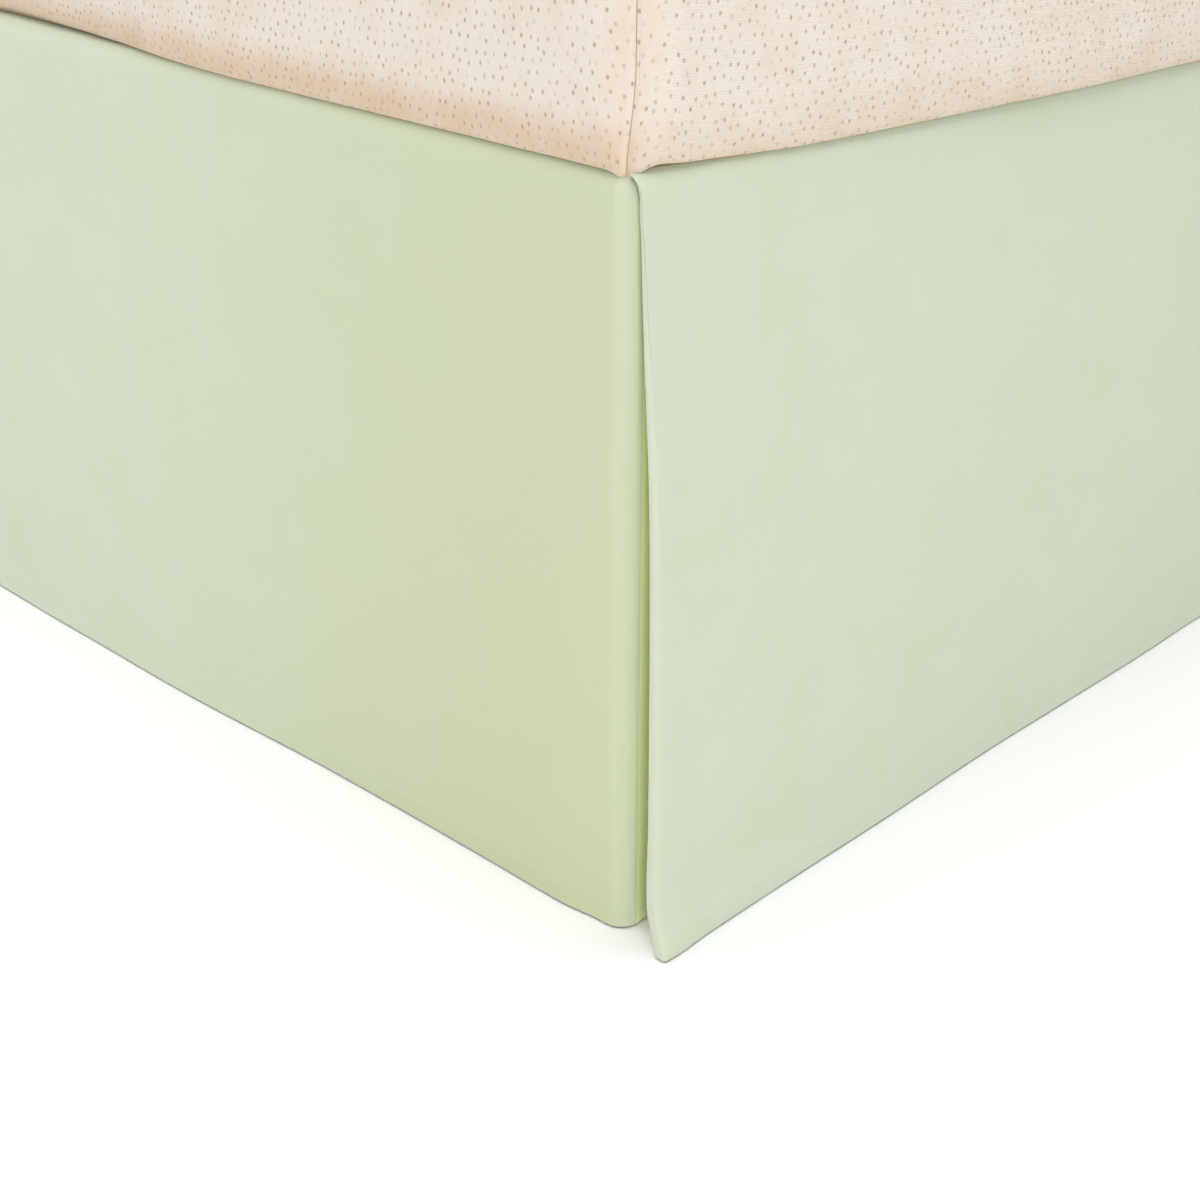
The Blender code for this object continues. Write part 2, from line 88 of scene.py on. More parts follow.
# roundness of the fold's section: 1 is a half circle, less is squarer
FOLD_ROUNDNESS_HEM = 0.42
FOLD_AHEAD_TOP = -0.0057
FOLD_AHEAD_HEM = 0.0055
FOLD_END = 0.004
RETURN_START = 0.006
TUCKED_INSET = 0.0025
PLAIN_KICK_POWER = 1.25
KICK_REACH = 0.35
BOX_INSET = 0.008
BOX_EDGE_RADIUS = 0.014
BOX_CORNER_RADIUS = 0.018
MATTRESS_CORNER_RADIUS = 0.024
MATTRESS_UPPER_ROLL = 0.020
MATTRESS_BULGE = 0.005
RIM_DEPTH = 0.0035
RIM_HEIGHT = 0.014
RIM_REACH = 0.009

# how far the hem stands out from the bed, by distance from the corner
FOOT_HEM_RIGHT = table(
    (0.000, 0.0034), (0.014, 0.0040), (0.038, 0.0075), (0.100, 0.0095), (0.165, 0.012),
    (0.310, 0.022), (0.390, 0.027), (0.480, 0.029), (0.590, 0.033), (0.762, 0.034),
)
FOOT_HEM_LEFT = table(
    (0.000, 0.004), (0.120, 0.010), (0.280, 0.016), (0.430, 0.027), (0.600, 0.030), (0.762, 0.034),
)
SIDE_HEM_RIGHT = table(
    (0.000, 0.0359), (0.030, 0.0332), (0.120, 0.0282), (0.230, 0.0236), (0.320, 0.019),
    (0.440, 0.015), (0.540, 0.010), (0.780, 0.017), (1.120, 0.010), (1.460, 0.019), (1.760, 0.011),
    (2.032, 0.015),
)
SIDE_HEM_LEFT = table(
    (0.000, 0.0359), (0.090, 0.030), (0.260, 0.021), (0.500, 0.014), (0.850, 0.020), (1.200, 0.011),
    (1.600, 0.018), (2.032, 0.013),
)
# share of the stand-off that the pleat's fold has reached, by share of the way down
FOLD_KICK = table(
    (0.00, 0.03), (0.05, 0.09), (0.12, 0.16), (0.20, 0.25), (0.35, 0.43), (0.50, 0.55),
    (0.65, 0.65), (0.82, 0.75), (0.94, 0.81), (1.00, 1.00),
)
# how far the mattress's side stands out past the skirt's top line
MATTRESS_FOOT = table(
    (0.000, 0.000), (0.280, 0.000), (0.360, -0.001), (0.430, -0.005), (0.550, -0.010),
    (0.762, -0.011),
)
MATTRESS_SIDE = table(
    (0.000, 0.000), (0.075, 0.001), (0.110, 0.003), (0.200, 0.005), (0.320, 0.007), (0.450, 0.006),
    (1.016, 0.005),
)
MATTRESS_HEAD = table(
    (0.000, 0.000), (0.300, 0.012), (0.762, 0.010),
)
# how high the rim is over the flat underside: below it where the soft edge sags, above it
# where the edge lifts
FOOT_RIM = table(
    (0.000, -0.0005), (0.026, -0.0010), (0.280, -0.0013), (0.360, -0.0004), (0.430, 0.0015),
    (0.550, 0.0036), (0.762, 0.0034),
)
SIDE_RIM = table(
    (0.000, -0.0005), (0.016, 0.0008), (0.045, -0.0002), (0.110, -0.0027), (0.320, -0.0035),
    (0.450, -0.0028), (1.016, -0.0026),
)
# how far the mattress's top rises, by distance inwards from its upper roll
MATTRESS_CROWN = table(
    (0.000, 0.000), (0.050, 0.005), (0.130, 0.009), (0.260, 0.011), (0.740, 0.011),
)
CROWN_ROWS = (0.012, 0.030, 0.050, 0.080, 0.130, 0.190, 0.260, 0.360, 0.480, 0.620, 0.720)
WaveRow = namedtuple("WaveRow", "length height phase")
HEM_WAVES = (
    WaveRow(0.410, 0.0006, 0.4),
    WaveRow(0.173, 0.0003, 2.1),
)

# -------- places read from the frame
HALF_WIDTH = BED_WIDTH / 2
DECK_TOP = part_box("deck")[1].z
HEM_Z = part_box("foot_drop")[0].z
BOX_BOTTOM, BOX_TOP = (corner.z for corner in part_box("box_spring"))
MATTRESS_BOTTOM = DECK_TOP + GAP
MATTRESS_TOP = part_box("mattress")[1].z - MATTRESS_CROWN[-1].value
BED_CENTRE_Y = sum(corner.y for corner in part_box("leg_middle_left")) / 2
FOOT_Y = BED_CENTRE_Y - BED_LENGTH / 2
HANG_TOP = DECK_TOP - CLOTH / 2 - EDGE_RADIUS
HANG = HANG_TOP - HEM_Z
ROUND_LENGTH = EDGE_RADIUS * math.pi / 2
ROUND_END = LIP + ROUND_LENGTH
TOP_INSET = EDGE_RADIUS + LIP
LAYER = CLOTH + GAP
TUCKED_START = ROUND_END + TUCKED_INSET
CORNER_COVER = CORNER_RADIUS - TUCKED_INSET
MITRE_GAP = 0.0015

# -------- fine detail of the cloth
# the last stretch above the hem flicks out: by how much, and from how high above the edge
FOOT_FLARE = table(
    (0.000, 0.0000), (0.150, 0.0001), (0.230, 0.0008), (0.330, 0.0014), (0.480, 0.0022),
    (0.762, 0.0024),
)
SIDE_FLARE = table(
    (0.000, 0.0002), (0.300, 0.0003), (0.900, 0.0011), (1.500, 0.0005), (2.032, 0.0008),
)
FOOT_FLARE_REACH = table(
    (0.000, 0.008), (0.230, 0.009), (0.400, 0.015), (0.600, 0.023), (0.762, 0.024),
)
SIDE_FLARE_REACH = table(
    (0.000, 0.007), (0.900, 0.016), (2.032, 0.012),
)
# soft creases: where their middle is, which way they run, half length, half width, height
Crease = namedtuple("Crease", "along below slope length width height")
FOOT_CREASES = (
    Crease(0.021, 0.019, 4, 0.016, 0.0030, -0.00045),
    Crease(0.050, 0.016, -7, 0.024, 0.0034, -0.00025),
    Crease(0.034, 0.034, 8, 0.026, 0.0065, 0.00040),
    Crease(0.340, 0.305, 24, 0.090, 0.0180, -0.00055),
    Crease(0.200, 0.338, 12, 0.100, 0.0110, -0.00050),
    Crease(0.520, 0.110, -35, 0.080, 0.0260, -0.00050),
    Crease(0.150, 0.150, 78, 0.110, 0.0300, 0.00045),
    Crease(0.655, 0.240, 62, 0.120, 0.0240, 0.00050),
)
SIDE_CREASES = (
    Crease(0.0115, 0.300, 90, 0.075, 0.0016, 0.00016),
    Crease(0.0200, 0.235, 90, 0.110, 0.0026, -0.00012),
    Crease(0.030, 0.022, -10, 0.020, 0.0040, -0.00018),
    Crease(0.150, 0.210, 82, 0.130, 0.0280, -0.00045),
    Crease(0.420, 0.150, 70, 0.110, 0.0330, 0.00055),
    Crease(0.860, 0.230, 84, 0.150, 0.0300, 0.00110),
    Crease(0.990, 0.190, 96, 0.150, 0.0260, -0.00080),
    Crease(1.330, 0.240, 80, 0.140, 0.0300, 0.00090),
    Crease(1.620, 0.200, 99, 0.150, 0.0240, -0.00090),
    Crease(1.900, 0.230, 85, 0.140, 0.0280, 0.00080),
)
CREASE_START = 0.006
CORNER_FADE = 0.030
FOOT_CORNER_FADE = CORNER_FADE / 3
RIPPLE_LENGTH = 0.085
RIPPLE_TALLNESS = 1.6
RIPPLE_HEIGHT = 0.00022
RIPPLE_START = 0.05

# -------- grid steps
LIP_STEPS = 2
ROUND_STEPS = 8
TUCKED_ROWS_SHARE = 0.8
TOP_ROW_STEP = 0.004
TOP_ROWS = 8
PLAIN_ROWS = 34
HEM_BAND = 0.028
HEM_ROWS = (0.028, 0.024, 0.020, 0.0165, 0.0138, 0.0118, 0.0104, 0.0094, 0.0087, 0.0081)
HEM_ROWS += (0.0075, 0.0068, 0.0058, 0.0045, 0.0032, 0.0020)
PLY_TURN_STEPS = 5
PLY_STEPS = 3
TURN_STEPS = 14
FOLD_STEPS = 16
PLEAT_STEPS = 20
NEAR_END = 0.060
NEAR_STEP = 0.0025
PLAIN_STEP = 0.0085
END_PLY = 0.009
END_TURN_STEPS = 8
SHARP_ANGLE = math.radians(50)
CLOTH_MAP = "cloth metres"
# vertex attribute that carries painted shade: 0 on the face, the share below is the corner's duller
# painted shade, 1 the pleat's saturated painted shade
SHADE_ATTRIBUTE = "painted_shade"
CORNER_SHADE_SHARE = 0.5

Spot = namedtuple("Spot", "x y nx ny")
Column = namedtuple("Column", "start over spot_at")
ProfileRow = namedtuple("ProfileRow", "z inset shrink")


# -------- small helpers
def mix(a, b, share):
    return a + (b - a) * share


def ease(share):
    share = min(1.0, max(0.0, share))
    return share * share * (3 - 2 * share)


def bump(distance, width):
    """A soft hump, 1 at distance 0 and about a third at the width."""
    return math.exp(-((distance / width) ** 2))


def spread(first, last, steps):
    """Evenly spaced values from first to last, both ends in."""
    return [mix(first, last, k / steps) for k in range(steps + 1)]


def steps_for(first, last, step):
    return max(1, math.ceil(abs(last - first) / step))


def read_table(rows, at):
    """Smooth curve through a table's two columns, level at both ends."""
    at = min(rows[-1][0], max(rows[0][0], at))
    k = 0
    while k < len(rows) - 2 and at > rows[k + 1][0]:
        k += 1
    x0, y0 = rows[k]
    x1, y1 = rows[k + 1]

    def slope(i):
        if i in (0, len(rows) - 1):
            return 0.0
        before, after = rows[i - 1], rows[i + 1]
        return (after[1] - before[1]) / (after[0] - before[0])

    width = x1 - x0
    s = (at - x0) / width
    return (
        (2 * s**3 - 3 * s**2 + 1) * y0
        + (s**3 - 2 * s**2 + s) * width * slope(k)
        + (3 * s**2 - 2 * s**3) * y1
        + (s**3 - s**2) * width * slope(k + 1)
    )


def linear(hex_colour):
    """An sRGB hex colour as linear red, green, blue and alpha."""
    channels = [int(hex_colour[k : k + 2], 16) / 255 for k in (1, 3, 5)]
    return (*(c / 12.92 if c <= 0.04045 else ((c + 0.055) / 1.055) ** 2.4 for c in channels), 1.0)


def length_property(name, description, default):
    return FloatProperty(
        name=name, description=description, default=default, unit="LENGTH", precision=5
    )


def power_property(name, description, default):
    return FloatProperty(name=name, description=description, default=default, unit="POWER")


def colour_property(name, description, hex_colour):
    colour = linear(hex_colour)
    return FloatVectorProperty(
        name=name, description=description, default=colour, subtype="COLOR", size=4, min=0, max=1
    )


# -------- what a user would change
# one ply of the skirt's cloth, which is thinner than the solids' cloth
SHEET = 0.0003


class SkirtSettings(bpy.types.PropertyGroup):
    """Sizes and colours of the skirt's cloth and sewing"""

    sheet: length_property("Cloth thickness", "Thickness of one ply of the skirt's cloth", SHEET)
    hem_width: length_property("Hem width", "Height of the turned-up hem, to its stitch line", 0.0080)
    groove: length_property("Stitch groove", "How deep the hem's stitches pull the cloth in", 0.00028)
    settle: length_property("Hem step", "How far the cloth above the hem lies behind it", 0.00035)
    stitch_pitch: length_property("Stitch pitch", "Distance from one hem stitch to the next", 0.0032)
    stitch_length: length_property("Stitch length", "Length of thread that shows in a stitch", 0.0023)
    thread: length_property("Thread thickness", "Diameter of the sewing thread", 0.00028)
    colour: colour_property("Cloth colour", "Sage green of the face of the cloth", "#CBD4BE")
    mottle: colour_property("Cloth mottle", "Duller green of the cloth's soft patches", "#CAD2B8")
    # painted shade: a duller, darker green painted low by the corner, and a saturated green painted
    # inside the pleats for the colour of the shade in the hollow
    corner_shade_colour: colour_property("Corner colour", "Duller green low by the corner", "#C4CAA5")
    tucked: colour_property("Pleat colour", "Warmer, shade_painted green inside the pleats", "#E6EEBA")
    thread_colour: colour_property("Thread colour", "Sewing thread dyed to match the cloth", "#C6D0B0")
    deck_colour: colour_property("Deck colour", "Undyed platform cloth under the mattress", "#E4E2D6")


class BedSettings(bpy.types.PropertyGroup):
    """Sizes and colours of the bed that carries the skirt"""

    seam_depth: length_property("Seam depth", "How deep the mattress's seams draw its cover in", 0.0016)
    seam_width: length_property("Seam width", "Half width of the groove at a seam", 0.0018)
    seam_thread: length_property("Seam thread", "Diameter of the thread in the mattress's seams", 0.0005)
    pucker: length_property("Pucker depth", "Height of the puckers beside the seams", 0.0004)
    unevenness: length_property("Unevenness", "Height of the mattress's slow unevenness", 0.0010)
    dimple_pitch: length_property("Dimple pitch", "Distance between the knit's dimples", 0.0064)
    dimple_wide: length_property("Dimple width", "Width of one dimple across the ribs", 0.0017)
    dimple_tall: length_property("Dimple height", "Height of one dimple", 0.0021)
    knit_colour: colour_property("Knit colour", "Cream of the mattress's knitted cover", "#E8DFD5")
    # painted shade: this tan is painted along the mattress's lower edge, and it also gives the knit's
    # warmer tone round the corners and in spots
    foam_and_shade_colour: colour_property("Foam colour", "Warm tone where the knit is stretched thin", "#DBC0A5")
    dimple_colour: colour_property("Dimple colour", "Shade in the knit's dimples", "#BDA58B")
    seam_colour: colour_property("Seam colour", "Tan thread of the mattress's seams", "#B99A76")
    cover_colour: colour_property("Box cover colour", "Woven cover of the box spring", "#E2DACB")
    wood_light: colour_property("Wood light", "Light grain of the legs", "#B98552")
    wood_dark: colour_property("Wood dark", "Dark grain of the legs", "#8A5A31")
    leg_sides: IntProperty(name="Leg sides", description="Steps round a turned leg", default=56, min=12)


class StageSettings(bpy.types.PropertyGroup):
    """Studio light, floor and camera"""

    floor_colour: colour_property("Floor colour", "Matt white studio floor", "#FCFCFC")
    sky_colour: colour_property("Room colour", "Tint of the even room light", "#FFFFF6")
    light_colour: colour_property("Light colour", "Tint of the softboxes", "#FCFDFF")
    sky: FloatProperty(name="Room light", description="Strength of the even room light", default=0.109)
    overhead: power_property("Overhead power", "Large soft light above the bed", 158)
    key: power_property("Key power", "Soft light ahead of the bed's side", 139)
    fill: power_property("Fill power", "Soft light ahead of the bed's foot", 39)
    lens: FloatProperty(
        name="Lens", description="Focal length on a 36 mm sensor", default=57.36, unit="CAMERA"
    )


# -------- plan of the drops
# Spots on the middle of the solids' cloth at the right-hand foot corner, as in the solids:
# x is out from the bed's centre line, y along the bed, and (nx, ny) is the cloth's face.
def plain_kick(down):
    return 1 - (1 - down) ** PLAIN_KICK_POWER


def hem_wave(along, down):
    total = 0.0
    for wave in HEM_WAVES:
        total += wave.height * math.sin(2 * math.pi * along / wave.length + wave.phase)
    return total * down * down


def crease_out(creases, along, below):
    """Soft troughs and ridges, each fading out from its own middle."""
    total = 0.0
    for crease in creases:
        turn = math.radians(crease.slope)
        across, down = along - crease.along, below - crease.below
        run = across * math.cos(turn) - down * math.sin(turn)
        off = across * math.sin(turn) + down * math.cos(turn)
        total += crease.height * math.exp(-((run / crease.length) ** 2) - (off / crease.width) ** 2)
    return total


def flare_out(flare, reach, along, down):
    """The last stretch above the hem flicks out; the hem's own edge stays where it is."""
    flick = read_table(flare, along)
    reach = read_table(reach, along)
    above = (1 - down) * HANG
    return flick * (max(0.0, 1 - above / reach) ** 2 - down)


def ripple_out(along, down, seed):
    """Slow unevenness of hanging cloth, none at the top where the bed holds it."""
    place = Vector((along / RIPPLE_LENGTH, down * HANG / RIPPLE_LENGTH / RIPPLE_TALLNESS, seed))
    return RIPPLE_HEIGHT * noise.noise(place) * ease(down * HANG / RIPPLE_START)


def fine_out(along, down, creases, flare, reach, seed):
    """All that the fine cloth adds to the solid's plan, fading out towards the corner."""
    below = down * HANG
    soft = crease_out(creases, along, below) + ripple_out(along, down, seed)
    start = ease(below / CREASE_START)
    return soft * start + flare_out(flare, reach, along, down)


def side_layer_out(along, down, side):
    near_corner = ease(along / KICK_REACH)
    kick = mix(read_table(FOLD_KICK, down), plain_kick(down), near_corner)
    wave = hem_wave(along, down) * ease(along / PLEAT_DEPTH)
    return read_table(side.hem, along) * kick + wave - CLOTH / 2


def fold_radius(down):
    return mix(FOLD_RADIUS_TOP, FOLD_RADIUS_HEM, down)


def fold_ahead(down):
    return mix(FOLD_AHEAD_TOP, FOLD_AHEAD_HEM, down)


def side_run(along, down, side):
    out = side_layer_out(along, down, side)
    fade = ease((along - FOLD_END) / CORNER_FADE)
    fine = fine_out(along, down, SIDE_CREASES, SIDE_FLARE, SIDE_FLARE_REACH, side.seed)
    return Spot(HALF_WIDTH + out + fine * fade, FOOT_Y + along, 1, 0)


def side_end(turn, down, side):
    """The narrow hem at the bed's head: a turn inwards (0 to 1), then a ply that runs back."""
    radius = END_TURN_RADIUS
    edge = side_run(BED_LENGTH - radius - SHEET / 2, down, side)
    angle = math.pi * min(turn, 1.0)
    x = edge.x - radius + radius * math.cos(angle)
    y = edge.y + radius * math.sin(angle) - END_PLY * max(0.0, turn - 1)
    return Spot(x, y, math.cos(angle), math.sin(angle))


def side_fold(turn, down, side):
    """The pressed fold, from the outer layer (turn 0) round to the return (turn 1)."""
    radius = fold_radius(down)
    angle = math.pi * turn
    roundness = mix(1, FOLD_ROUNDNESS_HEM, down)
    out = math.copysign(abs(math.cos(angle)) ** roundness, math.cos(angle))
    ahead = max(0.0, math.sin(angle)) ** roundness
    x = HALF_WIDTH + side_layer_out(0, down, side) - radius + radius * out
    y = FOOT_Y - fold_ahead(down) + radius - radius * ahead
    return Spot(x, y, math.cos(angle), -math.sin(angle))


def return_out(along, down, side):
    apart = mix(2 * fold_radius(down), LAYER + GAP, ease(along / PLEAT_DEPTH))
    return side_layer_out(along, down, side) - apart


def side_return(along, down, side):
    return Spot(HALF_WIDTH + return_out(along, down, side), FOOT_Y + along, -1, 0)


def underlay_out(along, down, side):
    sunk = ease((along - CORNER_RADIUS) / HOLLOW_WIDTH)
    sunk -= ease((along - HOLLOW_END) / HOLLOW_END_WIDTH)
    tucked = -CLOTH / 2 - 2 * FOLD_RADIUS_TOP - LAYER
    tucked += (UNDERLAY_SWING - UNDERLAY_HOLLOW * sunk) * down
    seam = return_out(PLEAT_DEPTH, down, side) - LAYER - GAP
    share = ease((along - UNDERLAY_START) / (PLEAT_DEPTH - UNDERLAY_START))
    return mix(tucked, seam, share)


def underlay_run(along, down, side):
    return Spot(HALF_WIDTH + underlay_out(along, down, side), FOOT_Y + along, 1, 0)


def foot_out(across, down, foot):
    return read_table(foot.hem, across) * plain_kick(down) + hem_wave(across, down) - CLOTH / 2


def foot_turn(turn, down, foot, side):
    """The foot drop's turn round the corner, from the side (turn 0) to the foot (turn 1)."""
    angle = math.pi / 2 * (1 - turn)
    out_side = HALF_WIDTH + underlay_out(CORNER_RADIUS, down, side)
    out_foot = FOOT_Y - foot_out(CORNER_RADIUS, down, foot)
    x = out_side - CORNER_RADIUS + CORNER_RADIUS * math.sin(angle)
    y = out_foot + CORNER_RADIUS - CORNER_RADIUS * math.cos(angle)
    return Spot(x, y, math.sin(angle), -math.cos(angle))


def foot_run(across, down, foot):
    fade = ease((across - CORNER_RADIUS) / FOOT_CORNER_FADE)
    fine = fine_out(across, down, FOOT_CREASES, FOOT_FLARE, FOOT_FLARE_REACH, foot.seed)
    out = foot_out(across, down, foot) + fine * fade
    return Spot(HALF_WIDTH - across, FOOT_Y - out, 0, -1)


def top_start(inset):
    """Cloth length that is left off at the top so that it reaches only this far inwards."""
    if inset >= EDGE_RADIUS:
        return TOP_INSET - inset
    return LIP + EDGE_RADIUS * math.asin(1 - inset / EDGE_RADIUS)


def side_run_start(along):
    return top_start(min(TOP_INSET, max(CORNER_COVER, along - MITRE_GAP)))


def foot_run_start(across):
    return top_start(min(TOP_INSET, across - TUCKED_INSET))


def fold_start(turn):
    """The fold's outer half goes over the edge with the drop, and its inner half is tucked."""
    return mix(top_start(CORNER_COVER), TUCKED_START, ease(2 * turn - 1))


# -------- panels as columns
Panel = namedtuple("Panel", "hem seed")
FOOT_RIGHT = Panel(FOOT_HEM_RIGHT, 1.3)
FOOT_LEFT = Panel(FOOT_HEM_LEFT, 5.1)
SIDE_RIGHT = Panel(SIDE_HEM_RIGHT, 9.7)
SIDE_LEFT = Panel(SIDE_HEM_LEFT, 14.2)


def column(start, over, place, at, *panels):
    """A column of cloth that goes over the bed's edge in plan direction over.

    place is one of the plan's functions, which takes where the column is and the panels.
    """
    return Column(start, over, lambda down: place(at, down, *panels))


def side_columns(side):
    """From the hemmed end at the bed's head to the fold and back along the return."""
    over = (1, 0)
    columns = []
    for turn in [2, 1.5] + spread(1, 0, END_TURN_STEPS):
        columns.append(column(0, over, side_end, turn, side))
    last = BED_LENGTH - 2 * END_TURN_RADIUS
    far = spread(last, NEAR_END, steps_for(last, NEAR_END, PLAIN_STEP))
    near = spread(NEAR_END, FOLD_END, steps_for(NEAR_END, FOLD_END, NEAR_STEP))
    for at in far[:-1] + near:
        columns.append(column(side_run_start(at), over, side_run, at, side))
    for turn in spread(0, 1, FOLD_STEPS):
        columns.append(column(fold_start(turn), over, side_fold, turn, side))
    for at in spread(RETURN_START, PLEAT_DEPTH, PLEAT_STEPS):
        columns.append(column(TUCKED_START, over, side_return, at, side))
    return columns


def foot_run_places():
    near = spread(CORNER_RADIUS, NEAR_END, steps_for(CORNER_RADIUS, NEAR_END, NEAR_STEP))
    return near[1:-1] + spread(NEAR_END, HALF_WIDTH, steps_for(NEAR_END, HALF_WIDTH, PLAIN_STEP))


def half_foot_columns(foot, side):
    """From the underlay's inner end round the corner to the middle of the foot."""
    inner = spread(PLEAT_DEPTH, CORNER_RADIUS, PLEAT_STEPS)[:-1]
    columns = [column(TUCKED_START, (1, 0), underlay_run, at, side) for at in inner]
    for turn in spread(0, 1, TURN_STEPS):
        start = TUCKED_START if turn == 0 else top_start(CORNER_COVER)
        spot = foot_turn(turn, 0, foot, side)
        columns.append(column(start, (spot.nx, spot.ny), foot_turn, turn, foot, side))
    for at in foot_run_places():
        columns.append(column(foot_run_start(at), (0, -1), foot_run, at, foot))
    return columns


def mirrored(columns):
    """The same columns on the left of the bed."""

    def flip(spot_at):
        def flipped(down):
            spot = spot_at(down)
            return Spot(-spot.x, spot.y, -spot.nx, spot.ny)

        return flipped

    return [
        each._replace(spot_at=flip(each.spot_at), over=(-each.over[0], each.over[1]))
        for each in columns
    ]


# -------- the way down a column
FACE = (CLOTH - SHEET) / 2
# half the distance between a turned hem's outer plies, which have its raw edge between them
PLY = 0.00045
END_TURN_RADIUS = 2.5 * PLY
HEM_TURN_Z = HEM_Z + PLY + SHEET / 2
HEM_TURN_START = HANG_TOP - HEM_TURN_Z
RAW_EDGE_SHARE = 0.85
GROOVE_WIDTH = 0.0009
# above the doubled hem the cloth steps back over STEP_HEIGHT, and is out again at STEP_FADE
STEP_HEIGHT = 0.003
STEP_FADE = 0.045


def hem_relief(above, skirt):
    """The stitch line's groove, and the step where the doubled hem ends above it."""
    past = above - skirt.hem_width
    groove = -skirt.groove * bump(past, GROOVE_WIDTH)
    step = -skirt.settle * ease(past / STEP_HEIGHT) * (1 - ease(past / STEP_FADE))
    return groove + step


def hem_path(run, skirt):
    """How far in and how high the cloth is, this far below the top of the hang.

    It hangs, turns up behind itself, and its raw edge is turned down between the plies.
    """
    if run <= HEM_TURN_START:
        return 0.0, HANG_TOP - run
    run -= HEM_TURN_START
    if run <= math.pi * PLY:
        return PLY * (1 - math.cos(run / PLY)), HEM_TURN_Z - PLY * math.sin(run / PLY)
    run -= math.pi * PLY
    rise = skirt.hem_width
    if run <= rise:
        return 2 * PLY, HEM_TURN_Z + run
    run -= rise
    small = PLY / 2
    if run <= math.pi * small:
        inward = 2 * PLY - small * (1 - math.cos(run / small))
        return inward, HEM_TURN_Z + rise + small * math.sin(run / small)
    return PLY, HEM_TURN_Z + rise - (run - math.pi * small)


def drape(each, length, skirt):
    """Middle of the sheet at this cloth length from the deck seam, in column each."""
    if length <= ROUND_END:
        spot = each.spot_at(0)
        angle = max(0.0, length - LIP) / EDGE_RADIUS
        facing = spot.nx * each.over[0] + spot.ny * each.over[1]
        inward = EDGE_RADIUS * (1 - math.sin(angle)) + max(0.0, LIP - length)
        out = FACE * math.sin(angle)
        x = spot.x + spot.nx * out - each.over[0] * inward
        y = spot.y + spot.ny * out - each.over[1] * inward
        return Vector((x, y, HANG_TOP + (EDGE_RADIUS + FACE * facing) * math.cos(angle)))
    inward, z = hem_path(length - ROUND_END, skirt)
    spot = each.spot_at(min(1.0, (HANG_TOP - z) / HANG))
    out = FACE - inward + hem_relief(z - HEM_Z, skirt)
    return Vector((spot.x + spot.nx * out, spot.y + spot.ny * out, z))


def row_lengths(start, skirt):
    """Cloth lengths of a column's rows: lip, round, hang, and the hem's plies."""
    top = [ROUND_END + TOP_ROW_STEP * (k + 1) for k in range(TOP_ROWS)]
    hem_start = ROUND_END + HANG - HEM_BAND
    plain = spread(top[-1], hem_start, PLAIN_ROWS)[1:-1]
    band = [ROUND_END + HANG - above for above in HEM_ROWS]
    turn = ROUND_END + HEM_TURN_START
    turn_end = turn + math.pi * PLY
    ply_end = turn_end + skirt.hem_width
    small_end = ply_end + math.pi * PLY / 2
    plies = spread(turn, turn_end, PLY_TURN_STEPS)
    plies += spread(turn_end, ply_end, 2 * PLY_STEPS)[1:]
    plies += spread(ply_end, small_end, PLY_TURN_STEPS - 1)[1:]
    plies += spread(small_end, small_end + skirt.hem_width * RAW_EDGE_SHARE, PLY_STEPS)[1:]
    below = top + plain + band + plies
    if start < LIP:
        return spread(start, LIP, LIP_STEPS)[:-1] + spread(LIP, ROUND_END, ROUND_STEPS) + below
    top_end = max(ROUND_END, mix(start, top[0], TUCKED_ROWS_SHARE))
    return spread(start, top_end, LIP_STEPS + ROUND_STEPS) + below


def across_places(columns):
    """Cloth widths of the columns, measured half way down the drop."""
    places, before = [], None
    for each in columns:
        spot = each.spot_at(0.5)
        step = 0 if before is None else math.hypot(spot.x - before.x, spot.y - before.y)
        places.append((places[-1] if places else 0) + step)
        before = spot
    return places


# -------- meshes
def mapped_grid(columns, rows, place, uv_place, shade_shares=None):
    """A grid whose vertex (column i, row j) is moved to place(i, j), with a map in metres.

    The last argument holds each column's share of painted shade, in its first and its last row.
    """
    bm = bmesh.new()
    shade = bm.verts.layers.float.new(SHADE_ATTRIBUTE) if shade_shares else None
    bmesh.ops.create_grid(bm, x_segments=columns - 1, y_segments=rows - 1, size=0.5)
    uv_layer = bm.loops.layers.uv.new(CLOTH_MAP)
    cells = {}
    for vertex in bm.verts:
        i = round((vertex.co.x + 0.5) * (columns - 1))
        j = round((vertex.co.y + 0.5) * (rows - 1))
        cells[vertex] = (i, j)
    for face in bm.faces:
        ring = [cells[vertex] for vertex in face.verts]
        low = min(j for _, j in ring)
        for loop in face.loops:
            loop[uv_layer].uv = uv_place(*cells[loop.vert], low)
    for vertex, cell in cells.items():
        vertex.co = place(*cell)
        if shade_shares:
            vertex[shade] = mix(*shade_shares[cell[0]], cell[1] / (rows - 1))
    return bm


def add_piece(name, bm, material, slot, *nodes):
    """An object of the bed, riding on its one body and standing for those solids."""
    mesh = bpy.data.meshes.new(name)
    bm.to_mesh(mesh)
    bm.free()
    return dress(bpy.data.objects.new(name, mesh), material, slot, *nodes)


def dress(piece, material, slot, *nodes):
    bpy.context.scene.collection.objects.link(piece)
    piece.data.materials.append(material)
    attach(piece, BODY)
    if nodes:
        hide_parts(*nodes)
    return piece


def bake_modifiers(piece):
    """The mesh as its modifiers leave it, smooth but for its sharp edges."""
    graph = bpy.context.evaluated_depsgraph_get()
    mesh = bpy.data.meshes.new_from_object(piece.evaluated_get(graph))
    piece.modifiers.clear()
    piece.data = mesh
    mesh.shade_smooth()
    mesh.set_sharp_from_angle(angle=SHARP_ANGLE)


def thicken(piece, thickness):
    solidify = piece.modifiers.new("cloth thickness", "SOLIDIFY")
    solidify.thickness = thickness
    solidify.offset = 0
    solidify.use_even_offset = False
    bake_modifiers(piece)


